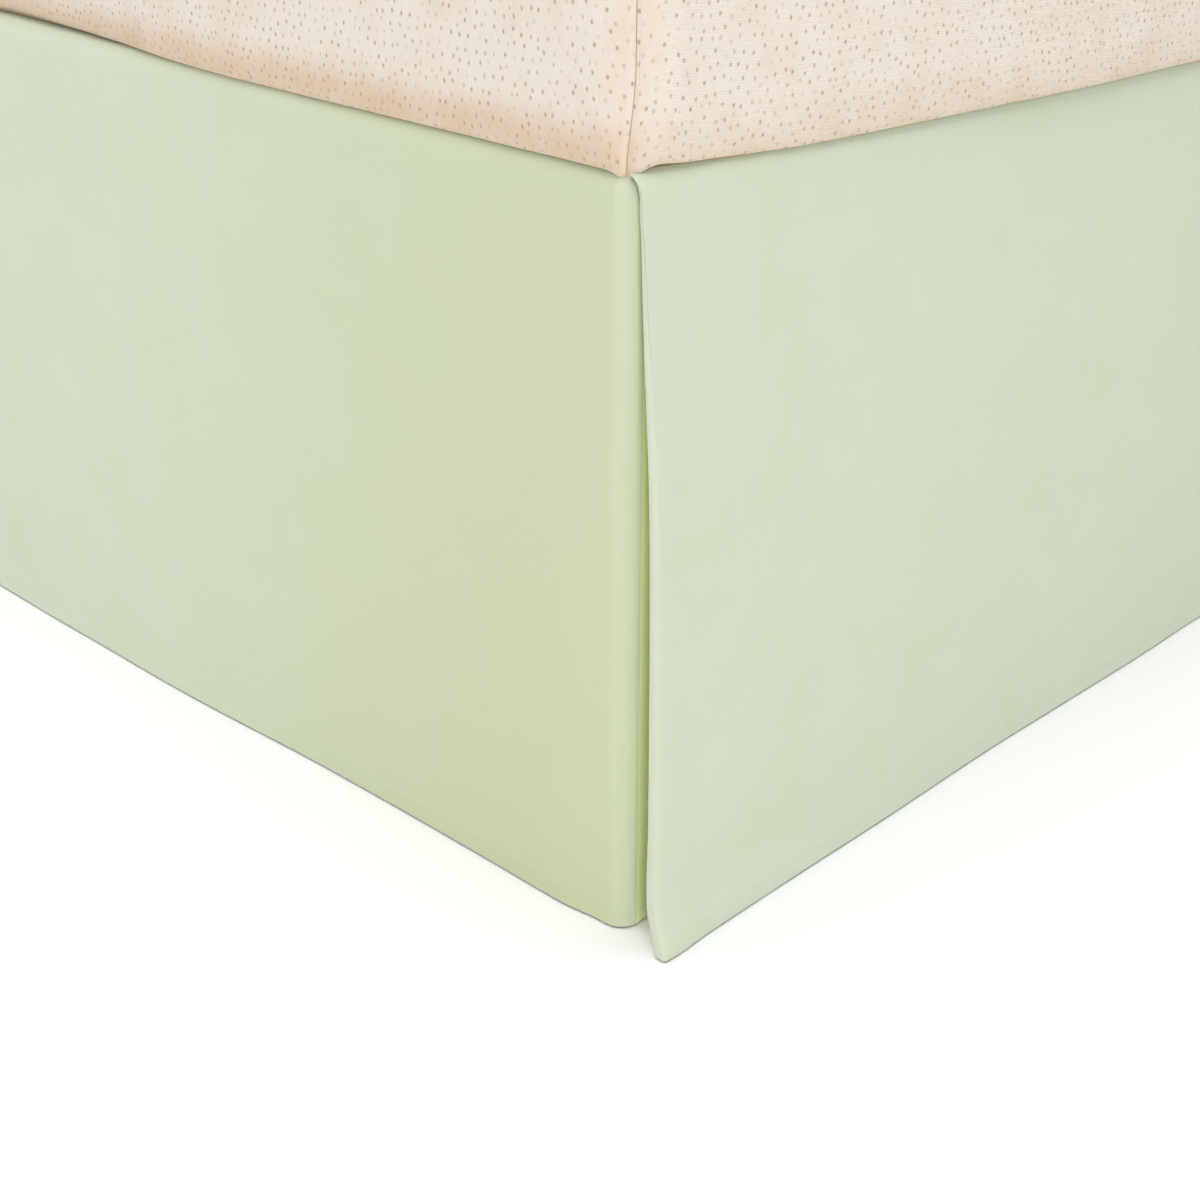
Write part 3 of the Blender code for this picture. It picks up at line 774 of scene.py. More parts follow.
def make_drop(name, node, columns, shade_shares, context):
    """One drop of the skirt as a thin sheet with a turned hem and its stitches."""
    skirt = context.scene.bed_skirt
    lengths = [row_lengths(each.start, skirt) for each in columns]
    across = across_places(columns)

    def place(i, j):
        return drape(columns[i], lengths[i][j], skirt)

    def uv_place(i, j, low):
        return across[i], lengths[i][j]

    bm = mapped_grid(len(columns), len(lengths[0]), place, uv_place, shade_shares)
    bmesh.ops.recalc_face_normals(bm, faces=bm.faces)
    piece = add_piece(name, bm, skirt_material(skirt), "skirt_cloth", node)
    thicken(piece, skirt.sheet)
    stitches = make_stitches(name.replace("cloth", "stitches"), columns, skirt)
    cut = (across[-1], max(lengths[0][-1], lengths[len(columns) // 2][-1]))


# a stitch's bow: share of its length, and height over the cloth in thread thicknesses
STITCH_BOW = ((0, -0.3), (0.5, 0.25), (1, -0.3))


def make_stitches(name, columns, skirt):
    """A row of straight stitches along the top of the hem, each a short bowed thread."""
    length = ROUND_END + HANG - skirt.hem_width
    line = []
    for each in columns:
        spot = each.spot_at(1 - skirt.hem_width / HANG)
        line.append((drape(each, length, skirt), Vector((spot.nx, spot.ny, 0))))
    walked = [0.0]
    for (before, _), (after, _) in zip(line, line[1:]):
        walked.append(walked[-1] + (after - before).length)

    def at(distance, rise, hint):
        k = hint
        while k < len(walked) - 2 and walked[k + 1] < distance:
            k += 1
        share = (distance - walked[k]) / (walked[k + 1] - walked[k])
        point = line[k][0].lerp(line[k + 1][0], share)
        normal = line[k][1].lerp(line[k + 1][1], share).normalized()
        return point + normal * (SHEET / 2 + rise), k

    curve = thread_curve(name, skirt.thread, 0)
    distance, hint = skirt.stitch_pitch, 0
    while distance + skirt.stitch_length < walked[-1]:
        points = []
        for part, rise in STITCH_BOW:
            point, hint = at(distance + skirt.stitch_length * part, skirt.thread * rise, hint)
            points.append(point)
        add_thread(curve, points)
        distance += skirt.stitch_pitch
    thread = thread_material("polyester thread, dyed to match", skirt.thread_colour)
    return dress(bpy.data.objects.new(name, curve), thread, "skirt_cloth")


# painted shade of the pleat's hollow: where it starts in the fold and ends on the turn; and the painted
# shade by the corner: its share at the top and at the hem, its reach, and its share on the turn's strip
FOLD_SHADE_START = 0.7
TURN_SHADE_END = 0.07
CORNER_SHADE_TOP = 0.26
CORNER_SHADE_HEM = 0.60
CORNER_SHADE_REACH = 0.50
STRIP_SHADE = 0.35


def side_painted_shade(columns):
    """Painted shade of each column: none on the run, and full from the fold's inner half to the end of
    the return.
    """
    turns = spread(0, 1, FOLD_STEPS)
    inside = [ease((turn - FOLD_SHADE_START) / (1 - FOLD_SHADE_START)) for turn in turns]
    inside += [1.0] * (PLEAT_STEPS + 1)
    return [(0.0, 0.0)] * (len(columns) - len(inside)) + [(share, share) for share in inside]


def half_foot_painted_shade():
    """Painted shade of each column: full on the underlay, then a trace near the corner that is stronger
    at the hem.
    """
    shades = [(1.0, 1.0)] * PLEAT_STEPS
    for turn in spread(0, 1, TURN_STEPS):
        full = ease(1 - turn / TURN_SHADE_END)
        trace = mix(STRIP_SHADE, 1, turn)
        shades.append((max(full, CORNER_SHADE_TOP * trace), max(full, CORNER_SHADE_HEM * trace)))
    for at in foot_run_places():
        near = ease(1 - at / CORNER_SHADE_REACH)
        shades.append((CORNER_SHADE_TOP * near, CORNER_SHADE_HEM * near))
    return shades


# -------- rounded blocks
def rounded_rectangle(half_x, half_y, radius, steps_x, steps_y, turn_steps):
    """Spots round a rectangle with round corners, anticlockwise from the right side."""
    spots = []
    flat_x = half_x - radius
    flat_y = half_y - radius
    for quarter in range(4):
        angle = math.pi / 2 * quarter
        nx, ny = round(math.cos(angle)), round(math.sin(angle))
        reach, run = (half_x, flat_y) if nx else (half_y, flat_x)
        steps = steps_y if nx else steps_x
        for k in range(steps):
            slide = mix(-run, run, k / steps)
            spots.append(Spot(nx * reach - ny * slide, ny * reach + nx * slide, nx, ny))
        corner_x = flat_x * (nx - ny)
        corner_y = flat_y * (ny + nx)
        for k in range(turn_steps):
            turn = angle + math.pi / 2 * k / turn_steps
            tx, ty = math.cos(turn), math.sin(turn)
            spots.append(Spot(corner_x + radius * tx, corner_y + radius * ty, tx, ty))
    return spots


def lower_roll(bottom, depth, height, steps):
    """Rows round a block's lower edge, from its underside to its side."""
    profile = []
    for angle in spread(0, math.pi / 2, steps):
        z = bottom + height * (1 - math.cos(angle))
        profile.append(ProfileRow(z, depth * (1 - math.sin(angle)), 0))
    return profile


def upper_roll(top, radius, steps):
    """Rows round a block's upper edge, from its side to its top."""
    profile = []
    for angle in spread(0, math.pi / 2, steps):
        z = top - radius * (1 - math.sin(angle))
        profile.append(ProfileRow(z, radius * (1 - math.cos(angle)), 0))
    return profile


def lofted_block(spots, profile, place, belt_row, top_row):
    """Closed mesh from a ring of spots and a profile.

    Its map runs round the ring, measured along belt_row, and up the profile. Past top_row
    it lies flat over the top.
    """
    ring = [0.0]
    for i in range(len(spots)):
        ring.append(ring[-1] + (place(i + 1, belt_row) - place(i, belt_row)).length)
    climb = [0.0]
    for before, after in zip(profile, profile[1:]):
        inwards = after.inset + after.shrink - before.inset - before.shrink
        climb.append(climb[-1] + math.hypot(after.z - before.z, inwards))

    def uv_place(i, j, low):
        if low >= top_row:
            point = place(i, j)
            return point[0], point[1]
        return ring[i], climb[j]

    bm = mapped_grid(len(spots) + 1, len(profile), place, uv_place)
    bmesh.ops.remove_doubles(bm, verts=bm.verts, dist=0.00001)
    bmesh.ops.holes_fill(bm, edges=bm.edges, sides=0)
    bmesh.ops.recalc_face_normals(bm, faces=bm.faces)
    return bm


# -------- mattress
# steps along the mattress's end and its side, and round its corner
MATTRESS_STEPS = (150, 200, 36)
MATTRESS_ROLL_STEPS = 10
MATTRESS_WALL_STEPS = 32
RIM_STEPS = 4
TOP_SEAM_STEP = 7
MATTRESS_MIDDLE = (MATTRESS_BOTTOM + MATTRESS_TOP) / 2
MATTRESS_HALF_HEIGHT = (MATTRESS_TOP - MATTRESS_BOTTOM) / 2
# the corner seam drifts towards the bed's end on its way down, and the tip under it sags and
# stands out; on the side next to the tip the lower edge lifts a little
SEAM_DRIFT = 0.0034
SEAM_DRIFT_HEIGHT = 0.045
TIP_SAG = 0.0034
TIP_WIDTH = 0.0062
TIP_OUT = 0.0026
TIP_OUT_WIDTH = 1.5 * TIP_WIDTH
TIP_HEIGHT = 0.012
SIDE_LIFT = 0.0009
SIDE_LIFT_AT = -0.014
SIDE_LIFT_WIDTH = 0.0085
# puckers beside a corner seam and above the rim, and slow and quick unevenness all over
SEAM_PUCKER_LENGTH = 0.011
SEAM_PUCKER_REACH = 0.009
SEAM_PUCKER_SHARE = 1.6
LOWER_PUCKER_LENGTH = 0.023
LOWER_PUCKER_REACH = 0.030
LOWER_PUCKER_SLANT = 1.3
LOWER_PUCKER_SEED = (0.5, 4)
QUARTER_SEED = (2, 3)
SLOW_LENGTH = 0.160
QUICK_LENGTH = 0.045
QUICK_SHARE = 0.35
# the shallower dip round a seam's groove, and the top seam's groove, in seam depths and widths
DRAWN_SHARE = 0.5
DRAWN_WIDTH = 3.5
TOP_GROOVE_WIDTH = 0.8
CORNER_ARC = MATTRESS_CORNER_RADIUS * math.pi / 4


def outline_value(spot, foot_rows, side_rows, head_rows):
    """What the tables say at this spot of the mattress's outline; a corner mixes two."""
    from_end = BED_LENGTH / 2 - abs(spot.y)
    from_side = HALF_WIDTH - abs(spot.x)
    end = read_table(foot_rows if spot.y < 0 else head_rows, from_side)
    return mix(end, read_table(side_rows, from_end), spot.nx * spot.nx)


def past_diagonal(spot):
    """Way round the outline from the corner's diagonal: towards the end +, the side -."""
    from_end = BED_LENGTH / 2 - abs(spot.y) - MATTRESS_CORNER_RADIUS
    from_side = HALF_WIDTH - abs(spot.x) - MATTRESS_CORNER_RADIUS
    if from_side >= 0:
        return CORNER_ARC + from_side
    if from_end >= 0:
        return -CORNER_ARC - from_end
    return MATTRESS_CORNER_RADIUS * math.atan2(abs(spot.ny), abs(spot.nx)) - CORNER_ARC


def seam_drift(z):
    return SEAM_DRIFT * ease(1 - (z - MATTRESS_BOTTOM) / SEAM_DRIFT_HEIGHT)


def cover_relief(spot, row, from_seam, seam_z, bed):
    """Unevenness and puckers of the cover, less the grooves that its seams draw in."""
    place = Vector((spot.x, spot.y, row.z))
    seed_x, seed_y = QUARTER_SEED
    quarter = Vector((math.copysign(seed_x, spot.x), math.copysign(seed_y, spot.y), 0))
    slow = bed.unevenness * noise.noise(place / SLOW_LENGTH)
    quick = bed.unevenness * QUICK_SHARE * noise.noise(place / QUICK_LENGTH + quarter)
    sewn = bed.seam_depth * bump(from_seam, bed.seam_width)
    drawn = bed.seam_depth * DRAWN_SHARE * bump(from_seam, bed.seam_width * DRAWN_WIDTH)
    wave = noise.noise(Vector((0, 0, row.z / SEAM_PUCKER_LENGTH)) + quarter)
    pucker = bed.pucker * SEAM_PUCKER_SHARE * wave * bump(from_seam, SEAM_PUCKER_REACH)
    way_round = (spot.x + spot.y * LOWER_PUCKER_SLANT) / LOWER_PUCKER_LENGTH
    edge_wave = noise.noise(Vector((way_round, *LOWER_PUCKER_SEED)))
    pucker += bed.pucker * edge_wave * bump(row.z - MATTRESS_BOTTOM, LOWER_PUCKER_REACH)
    top_groove = bed.seam_depth * bump(row.z - seam_z, bed.seam_width * TOP_GROOVE_WIDTH)
    return slow + quick + pucker - sewn - drawn - top_groove


def mattress_point(spot, row, seam_z, bed):
    from_middle = min(1.0, abs(row.z - MATTRESS_MIDDLE) / MATTRESS_HALF_HEIGHT)
    out = outline_value(spot, MATTRESS_FOOT, MATTRESS_SIDE, MATTRESS_HEAD)
    out += MATTRESS_BULGE * (1 - from_middle**2)
    from_seam = past_diagonal(spot) - seam_drift(row.z)
    out += TIP_OUT * bump(from_seam, TIP_OUT_WIDTH) * bump(row.z - MATTRESS_BOTTOM, TIP_HEIGHT)
    up = 0.0
    at_rim = ease((RIM_REACH - row.inset) / (RIM_REACH - RIM_DEPTH))
    if row.z < MATTRESS_MIDDLE:
        at_rim *= ease((MATTRESS_MIDDLE - row.z) / MATTRESS_HALF_HEIGHT)
        rim = outline_value(spot, FOOT_RIM, SIDE_RIM, SIDE_RIM)
        rim += SIDE_LIFT * bump(past_diagonal(spot) - SIDE_LIFT_AT, SIDE_LIFT_WIDTH)
        up = (rim - TIP_SAG * bump(from_seam, TIP_WIDTH)) * at_rim
    wall = 1.0 if row.shrink == 0 else 0.0
    if row.z < MATTRESS_BOTTOM + RIM_HEIGHT:
        wall = at_rim
    out += cover_relief(spot, row, from_seam, seam_z, bed) * wall - row.inset
    x = (spot.x + spot.nx * out) * (1 - row.shrink / HALF_WIDTH)
    y = (spot.y + spot.ny * out) * (1 - row.shrink / (BED_LENGTH / 2))
    return Vector((x, BED_CENTRE_Y + y, row.z + up))


def mattress_rows():
    """Profile rows from the flat underside to the crown, and the row of the top seam."""
    underside = spread(RIM_REACH, RIM_DEPTH, RIM_STEPS)[:-1]
    profile = [ProfileRow(MATTRESS_BOTTOM, inset, 0) for inset in underside]
    profile += lower_roll(MATTRESS_BOTTOM, RIM_DEPTH, RIM_HEIGHT, MATTRESS_ROLL_STEPS)
    wall_top = MATTRESS_TOP - MATTRESS_UPPER_ROLL
    wall = spread(MATTRESS_BOTTOM + RIM_HEIGHT, wall_top, MATTRESS_WALL_STEPS)
    profile += [ProfileRow(z, 0, 0) for z in wall[1:-1]]
    top_row = len(profile) + TOP_SEAM_STEP
    profile += upper_roll(MATTRESS_TOP, MATTRESS_UPPER_ROLL, MATTRESS_ROLL_STEPS)
    for inward in CROWN_ROWS:
        height = MATTRESS_TOP + read_table(MATTRESS_CROWN, inward)
        profile.append(ProfileRow(height, MATTRESS_UPPER_ROLL, inward))
    return profile, top_row


def make_mattress(context):
    bed = context.scene.bed
    spots = rounded_rectangle(HALF_WIDTH, BED_LENGTH / 2, MATTRESS_CORNER_RADIUS, *MATTRESS_STEPS)
    profile, top_row = mattress_rows()
    seam_z = profile[top_row].z

    def place(i, j):
        return mattress_point(spots[i % len(spots)], profile[j], seam_z, bed)

    bm = lofted_block(spots, profile, place, len(profile) // 3, top_row)
    piece = add_piece("mattress_cover", bm, knit_material(bed), "mattress_knit", "mattress")
    piece.data.shade_smooth()

    curve = thread_curve("mattress_seams", bed.seam_thread, 1)
    side_rows = profile[RIM_STEPS : top_row + 1]
    for sign_x, sign_y in ((-1, -1), (-1, 1), (1, -1), (1, 1)):
        add_thread(curve, seam_points(sign_x, sign_y, side_rows, seam_z, bed))
    add_thread(curve, [place(k, top_row) for k in range(0, len(spots), 2)], True)
    thread = thread_material("polyester thread, tan", bed.seam_colour)
    dress(bpy.data.objects.new("mattress_seams", curve), thread, "mattress_knit")


def seam_points(sign_x, sign_y, rows, seam_z, bed):
    """Points up one corner seam, which drifts off the diagonal near the rim."""
    points = []
    for row in rows:
        turn = math.pi / 4 + seam_drift(row.z) / MATTRESS_CORNER_RADIUS
        nx, ny = sign_x * math.cos(turn), sign_y * math.sin(turn)
        x = sign_x * (HALF_WIDTH - MATTRESS_CORNER_RADIUS) + MATTRESS_CORNER_RADIUS * nx
        y = sign_y * (BED_LENGTH / 2 - MATTRESS_CORNER_RADIUS) + MATTRESS_CORNER_RADIUS * ny
        points.append(mattress_point(Spot(x, y, nx, ny), row, seam_z, bed))
    return points


def thread_curve(name, thickness, roundness):
    curve = bpy.data.curves.new(name, "CURVE")
    curve.dimensions = "3D"
    curve.bevel_depth = thickness / 2
    curve.bevel_resolution = roundness
    curve.use_fill_caps = True
    return curve


def add_thread(curve, points, closed=False):
    spline = curve.splines.new("POLY")
    spline.points.add(len(points) - 1)
    for k, point in enumerate(points):
        spline.points[k].co = (*point, 1)
    spline.use_cyclic_u = closed


# -------- box spring, deck and legs
# steps along the box spring's end and its side, and round its corner
BOX_STEPS = (40, 52, 10)
BOX_ROLL_STEPS = 7
BOX_WALL_STEPS = 16
WELT_ROLL = 0.0018
WELT_OUT = 0.0012
WELT_RISE = 0.005
WELT_REACH = 0.004
WELT_STEPS = 10
COVER_SLACK = 0.0004
COVER_SLACK_LENGTH = 0.09
DECK_STEPS_X = 36
DECK_STEPS_Y = 48
DECK_HEM = 0.010
DECK_PLY = 0.00035


def make_box_spring(context):
    """Upholstered wooden frame: a woven cover with a welt round its upper and lower edge."""
    bed = context.scene.bed
    half_x = HALF_WIDTH - BOX_INSET
    half_y = BED_LENGTH / 2 - BOX_INSET
    spots = rounded_rectangle(half_x, half_y, BOX_CORNER_RADIUS, *BOX_STEPS)
    welts = (BOX_BOTTOM + BOX_EDGE_RADIUS + WELT_RISE, BOX_TOP - BOX_EDGE_RADIUS - WELT_RISE)
    heights = spread(welts[0] + WELT_RISE, welts[1] - WELT_RISE, BOX_WALL_STEPS)
    for welt in welts:
        heights += spread(welt - WELT_REACH, welt + WELT_REACH, WELT_STEPS)
    profile = lower_roll(BOX_BOTTOM, BOX_EDGE_RADIUS, BOX_EDGE_RADIUS, BOX_ROLL_STEPS)
    profile += [ProfileRow(z, 0, 0) for z in sorted(heights)]
    profile += upper_roll(BOX_TOP, BOX_EDGE_RADIUS, BOX_ROLL_STEPS)

    def place(i, j):
        spot = spots[i % len(spots)]
        row = profile[j]
        out = -row.inset
        for welt in welts:
            out += WELT_OUT * bump(row.z - welt, WELT_ROLL)
        if row.inset == 0:
            out += COVER_SLACK * noise.noise(Vector((spot.x, spot.y, row.z)) / COVER_SLACK_LENGTH)
        return Vector((spot.x + spot.nx * out, BED_CENTRE_Y + spot.y + spot.ny * out, row.z))

    bm = lofted_block(spots, profile, place, len(profile) // 2, len(profile))
    piece = add_piece("box_spring_cover", bm, cover_material(bed), "box_cover", "box_spring")
    piece.data.shade_smooth()


def make_deck(context):
    """Flat platform cloth under the mattress, with a narrow hem at the bed's head."""
    skirt = context.scene.bed_skirt
    low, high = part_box("deck")
    run = high.y - low.y - DECK_PLY - skirt.sheet / 2
    turn = math.pi * DECK_PLY
    z = DECK_TOP - skirt.sheet / 2
    ways = spread(0, run, DECK_STEPS_Y) + spread(run, run + turn, PLY_TURN_STEPS)[1:]
    ways += spread(run + turn, run + turn + DECK_HEM, PLY_STEPS)[1:]
    xs = spread(low.x, high.x, DECK_STEPS_X)

    def place(i, j):
        past = ways[j] - run
        if past <= 0:
            return Vector((xs[i], low.y + ways[j], z))
        if past <= turn:
            angle = past / DECK_PLY
            y = low.y + run + DECK_PLY * math.sin(angle)
            return Vector((xs[i], y, z - DECK_PLY * (1 - math.cos(angle))))
        return Vector((xs[i], low.y + run - (past - turn), z - 2 * DECK_PLY))

    def uv_place(i, j, low_row):
        return xs[i], ways[j]

    bm = mapped_grid(len(xs), len(ways), place, uv_place)
    piece = add_piece("deck_panel", bm, platform_material(skirt), "deck_cloth", "deck")
    thicken(piece, skirt.sheet)


LEG_CHAMFER = 0.0025
LEG_FOOT_SHARE = 0.75
LEG_TAPER_END = 0.97
LEG_EASE = 0.3


def make_leg(node, bed, wood):
    """A plain tapered leg, turned, with an eased foot."""
    low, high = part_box(node)
    top_radius = (high.x - low.x) / 2
    foot_radius = top_radius * LEG_FOOT_SHARE
    profile = [
        (0.0, high.z),
        (top_radius - LEG_CHAMFER / 2, high.z),
        (top_radius, high.z - LEG_CHAMFER / 2),
    ]
    for share in (0.5, LEG_TAPER_END):
        profile.append((mix(top_radius, foot_radius, share), mix(high.z, low.z, share)))
    profile += [
        (foot_radius, low.z + LEG_CHAMFER),
        (foot_radius - LEG_CHAMFER * LEG_EASE, low.z + LEG_CHAMFER * LEG_EASE),
        (foot_radius - LEG_CHAMFER, low.z),
        (0.0, low.z),
    ]
    points = [(x, 0, z) for x, z in profile]
    mesh = bpy.data.meshes.new(node + "_turned")
    mesh.from_pydata(points, [(k, k + 1) for k in range(len(points) - 1)], [])
    piece = bpy.data.objects.new(node + "_turned", mesh)
    piece.location = ((low.x + high.x) / 2, (low.y + high.y) / 2, 0)
    dress(piece, wood, "leg_wood", node)
    screw = piece.modifiers.new("turning", "SCREW")
    screw.steps = screw.render_steps = bed.leg_sides
    screw.use_merge_vertices = True
    screw.merge_threshold = 0.0001
    bake_modifiers(piece)


# -------- materials
class Shading:
    """A new material and its nodes.

    Each method adds a node and gives back its output. What goes in is a number, a vector,
    a colour or the output of another node.
    """

    def __init__(self, name, **constants):
        self.material = bpy.data.materials.new(name)
        self.material.use_nodes = True
        self.tree = self.material.node_tree
        self.shader = self.tree.nodes["Principled BSDF"]
        for key, value in constants.items():
            self.shader.inputs[key.replace("_", " ")].default_value = value

    def put(self, value, socket):
        if isinstance(value, bpy.types.NodeSocket):
            self.tree.links.new(value, socket)
        else:
            socket.default_value = value

    def node(self, kind, inputs=(), output=0, **settings):
        """Any node; inputs pairs its sockets with what goes in."""
        node = self.tree.nodes.new("ShaderNode" + kind)
        for key, value in settings.items():
            setattr(node, key, value)
        for key, value in dict(inputs).items():
            self.put(value, node.inputs[key])
        return node.outputs[output]

    def cloth_place(self):
        """Place on the flat cloth, in metres."""
        return self.node("UVMap", output="UV", uv_map=CLOTH_MAP)

    def solid_place(self):
        """Place in the piece's own metres."""
        return self.node("TexCoord", output="Object")

    def math(self, operation, *values, clamp=False):
        return self.node("Math", enumerate(values), operation=operation, use_clamp=clamp)

    def vector(self, operation, *values, output=0):
        return self.node("VectorMath", enumerate(values), output, operation=operation)

    def split(self, vector):
        """A vector's x, y and z."""
        return self.node("SeparateXYZ", {0: vector}).node.outputs[:]

    def waves(self, place, length):
        """Angles that go round once in this length across the cloth, and along it."""
        return self.split(self.vector("MULTIPLY", place, (2 * math.pi / length,) * 3))[:2]

    def plain_weave(self, place, thread):
        """Height of threads that go over and under one another."""
        across, along = self.waves(place, 2 * thread)
        return self.math("MULTIPLY", self.math("SINE", across), self.math("SINE", along))

    def noise(self, place, scale, detail, **more):
        return self.node("TexNoise", {"Vector": place, "Scale": scale, "Detail": detail, **more})

    def share(self, value, low, high, first=0.0, last=1.0, curve="LINEAR"):
        """From first where value is low to last where it is high."""
        inputs = {"Value": value, 1: low, 2: high, 3: first, 4: last}
        return self.node("MapRange", inputs, interpolation_type=curve)

    def blend(self, share, first, second):
        """From the first colour to the second."""
        return self.node("Mix", {0: share, 6: first, 7: second}, 2, data_type="RGBA")

    def darken(self, share, colour, darkest):
        """From the colour to this much of it."""
        return self.blend(share, colour, (*(channel * darkest for channel in colour[:3]), 1.0))

    def finish(self, colour, height=None, strength=0.0, distance=0.0):
        """The material with its colour, and its bump where it has one."""
        self.put(colour, self.shader.inputs["Base Color"])
        if height is not None:
            inputs = {"Strength": strength, "Distance": distance, "Height": height}
            self.put(self.node("Bump", inputs), self.shader.inputs["Normal"])
        return self.material


def skirt_material(skirt):
    """Polyester microfibre, plain woven and brushed.

    The nap hides single threads: what shows is a smooth matt face with faint slubs, soft
    mottling and a little sheen where the cloth curves away. Thread spacing is 0.25 mm,
    too fine to show, and is drawn at 0.9 mm.
    """
    name = "polyester microfibre, plain woven and brushed"
    if name in bpy.data.materials:
        return bpy.data.materials[name]
    thread, slub, slub_slimness, mottle, nap = 0.0009, 0.030, 8, 0.055, 0.0016
    thread_height, slub_height = 0.35, 0.8
    look = Shading(name, Roughness=0.86, IOR=1.45, Sheen_Weight=0.18, Sheen_Roughness=0.45)
    place = look.cloth_place()
    slub_place = look.vector("MULTIPLY", place, (1 / slub, slub_slimness / slub, 1))
    slubs = look.noise(slub_place, scale=1, detail=3)
    naps = look.noise(place, scale=1 / nap, detail=2)
    patches = look.noise(place, scale=1 / mottle, detail=4, Roughness=0.62)
    face = look.blend(look.share(patches, low=0.35, high=0.70), skirt.colour, skirt.mottle)
    # painted shade: the vertex attribute blends the face towards the corner's duller green and then
    # towards the saturated green inside the pleats; the result carries this painted shade, not a dye
    painted_shade = look.node("Attribute", output="Fac", attribute_name=SHADE_ATTRIBUTE)
    corner_shaded = look.blend(look.share(painted_shade, 0.0, CORNER_SHADE_SHARE), face, skirt.corner_shade_colour)
    dyed = look.blend(look.share(painted_shade, CORNER_SHADE_SHARE, 1.0), corner_shaded, skirt.tucked)
    threads = look.math("MULTIPLY_ADD", look.plain_weave(place, thread), thread_height, naps)
    height = look.math("MULTIPLY_ADD", slubs, slub_height, threads)
    return look.finish(dyed, height, strength=0.25, distance=0.00012)


def platform_material(skirt):
    """Polyester platform cloth, plain woven: undyed, flat and matt, with threads that show."""
    thread, darkest = 0.0011, 0.93
    look = Shading("polyester platform cloth, plain woven", Roughness=0.9)
    place = look.cloth_place()
    patches = look.noise(place, scale=40, detail=3)
    face = look.darken(patches, skirt.deck_colour, darkest)
    weave = look.plain_weave(place, thread)
    return look.finish(face, weave, strength=0.4, distance=0.0001)


def dimple_marks(look, place, bed):
    """Staggered rows of short strokes, each a little off its place and of its own strength."""
    row_share, off_x, off_y, weakest = 0.86, 0.52, 0.62, 0.25
    wide, tall = bed.dimple_pitch, bed.dimple_pitch * row_share
    stroke = (wide / bed.dimple_wide, tall / bed.dimple_tall, 0)
    x, y, _ = look.split(look.vector("MULTIPLY", place, (1 / wide, 1 / tall, 0)))
    slid = look.math("MULTIPLY_ADD", look.math("FLOOR", y), 0.5, x)
    staggered = look.node("CombineXYZ", {0: slid, 1: y})
    number = look.vector("FLOOR", staggered)
    chance = look.node("TexWhiteNoise", {"Vector": number}, "Color")
    inside = look.vector("FRACTION", staggered)
    moved = look.vector("MULTIPLY_ADD", chance, (off_x, off_y, 0), inside)
    centred = look.vector("SUBTRACT", moved, (0.5 + off_x / 2, 0.5 + off_y / 2, 0))
    away = look.vector("LENGTH", look.vector("MULTIPLY", centred, stroke), output="Value")
    dimple = look.share(away, low=0.22, high=0.62, first=1.0, last=0.0, curve="SMOOTHSTEP")
    strength = look.share(look.split(chance)[2], 0.0, 1.0, first=weakest)
    return look.math("MULTIPLY", dimple, strength)


def knit_material(bed):
    """Polyester jacquard, weft knitted over foam, with tied-down dimples.

    Each dimple is a short dark stroke a little taller than wide, in staggered rows that the
    knitting leaves uneven. Fine ribs run up the bed's end and along its sides. Ribs are
    0.6 mm apart and are drawn at 1.25 mm so that they show. A warm tan is painted on the knit:
    as painted shade along the lower edge, stronger on the bed's ends than on its sides, and as
    a warmer tone round the corners and in spots.
    """
    rib = 0.00125
    lower_shade_top, lower_shade_bottom = MATTRESS_BOTTOM + 0.026, MATTRESS_BOTTOM + 0.006
    lower_shade_strength, side_lower_shade, corner_warmth = 0.68, 0.3, 0.9
    dimple_depth, rib_shade, rib_base = 6.0, 0.055, 0.10
    look = Shading("polyester jacquard, knitted and dimpled", Roughness=0.9)
    place = look.cloth_place()
    mark = dimple_marks(look, place, bed)
    wale, course = (look.math("SINE", angle) for angle in look.waves(place, rib))
    facing = look.split(look.node("NewGeometry", output="Normal"))
    sideways = look.math("POWER", facing[0], 2.0)
    ribs = look.node("Mix", {0: sideways, 2: wale, 3: course}, data_type="FLOAT")
    patches = look.noise(place, scale=34, detail=5, Roughness=0.6)
    rib_tone = look.math("MULTIPLY_ADD", ribs, rib_shade, rib_base)
    tone = look.share(patches, low=0.42, high=0.75, last=0.32)
    spotty = look.math("ADD", tone, rib_tone, clamp=True)
    height = look.split(look.solid_place())[2]
    # painted shade: a warm tan painted along the lower edge, full 6 mm up and gone 26 mm up, strongest
    # on the bed's ends and weaker on its sides
    lower_shade = look.share(height, lower_shade_bottom, lower_shade_top, lower_shade_strength, 0.0, curve="SMOOTHSTEP")
    lower_shade_by_face = look.share(sideways, 0.0, 1.0, first=1.0, last=side_lower_shade)
    on_corner = look.math("MULTIPLY", sideways, look.math("SUBTRACT", 1.0, sideways))
    drawn = look.math("MULTIPLY_ADD", on_corner, corner_warmth, spotty)
    warmth_and_shade = look.math("MULTIPLY_ADD", lower_shade, lower_shade_by_face, drawn, clamp=True)
    toned = look.blend(warmth_and_shade, bed.knit_colour, bed.foam_and_shade_colour)
    marked = look.blend(mark, toned, bed.dimple_colour)
    sunk = look.math("MULTIPLY_ADD", mark, -dimple_depth, ribs)
    return look.finish(marked, sunk, strength=0.6, distance=0.00012)


def cover_material(bed):
    """Cotton and polyester ticking, woven: dense and matt, with a fine twill line."""
    thread, darkest = 0.0012, 0.90
    look = Shading("cotton ticking, twill woven", Roughness=0.88)
    place = look.cloth_place()
    twill = look.math("SINE", look.math("ADD", *look.waves(place, thread)))
    face = look.darken(look.noise(place, scale=35, detail=4), bed.cover_colour, darkest)
    return look.finish(face, twill, strength=0.5, distance=0.0001)


def thread_material(name, colour):
    """Polyester sewing thread, spun and twisted: matt, with a fine twist along it."""
    look = Shading(name, Roughness=0.6)
    twist = look.noise(look.solid_place(), scale=2500, detail=1)
    return look.finish(look.darken(twist, colour, darkest=0.82))


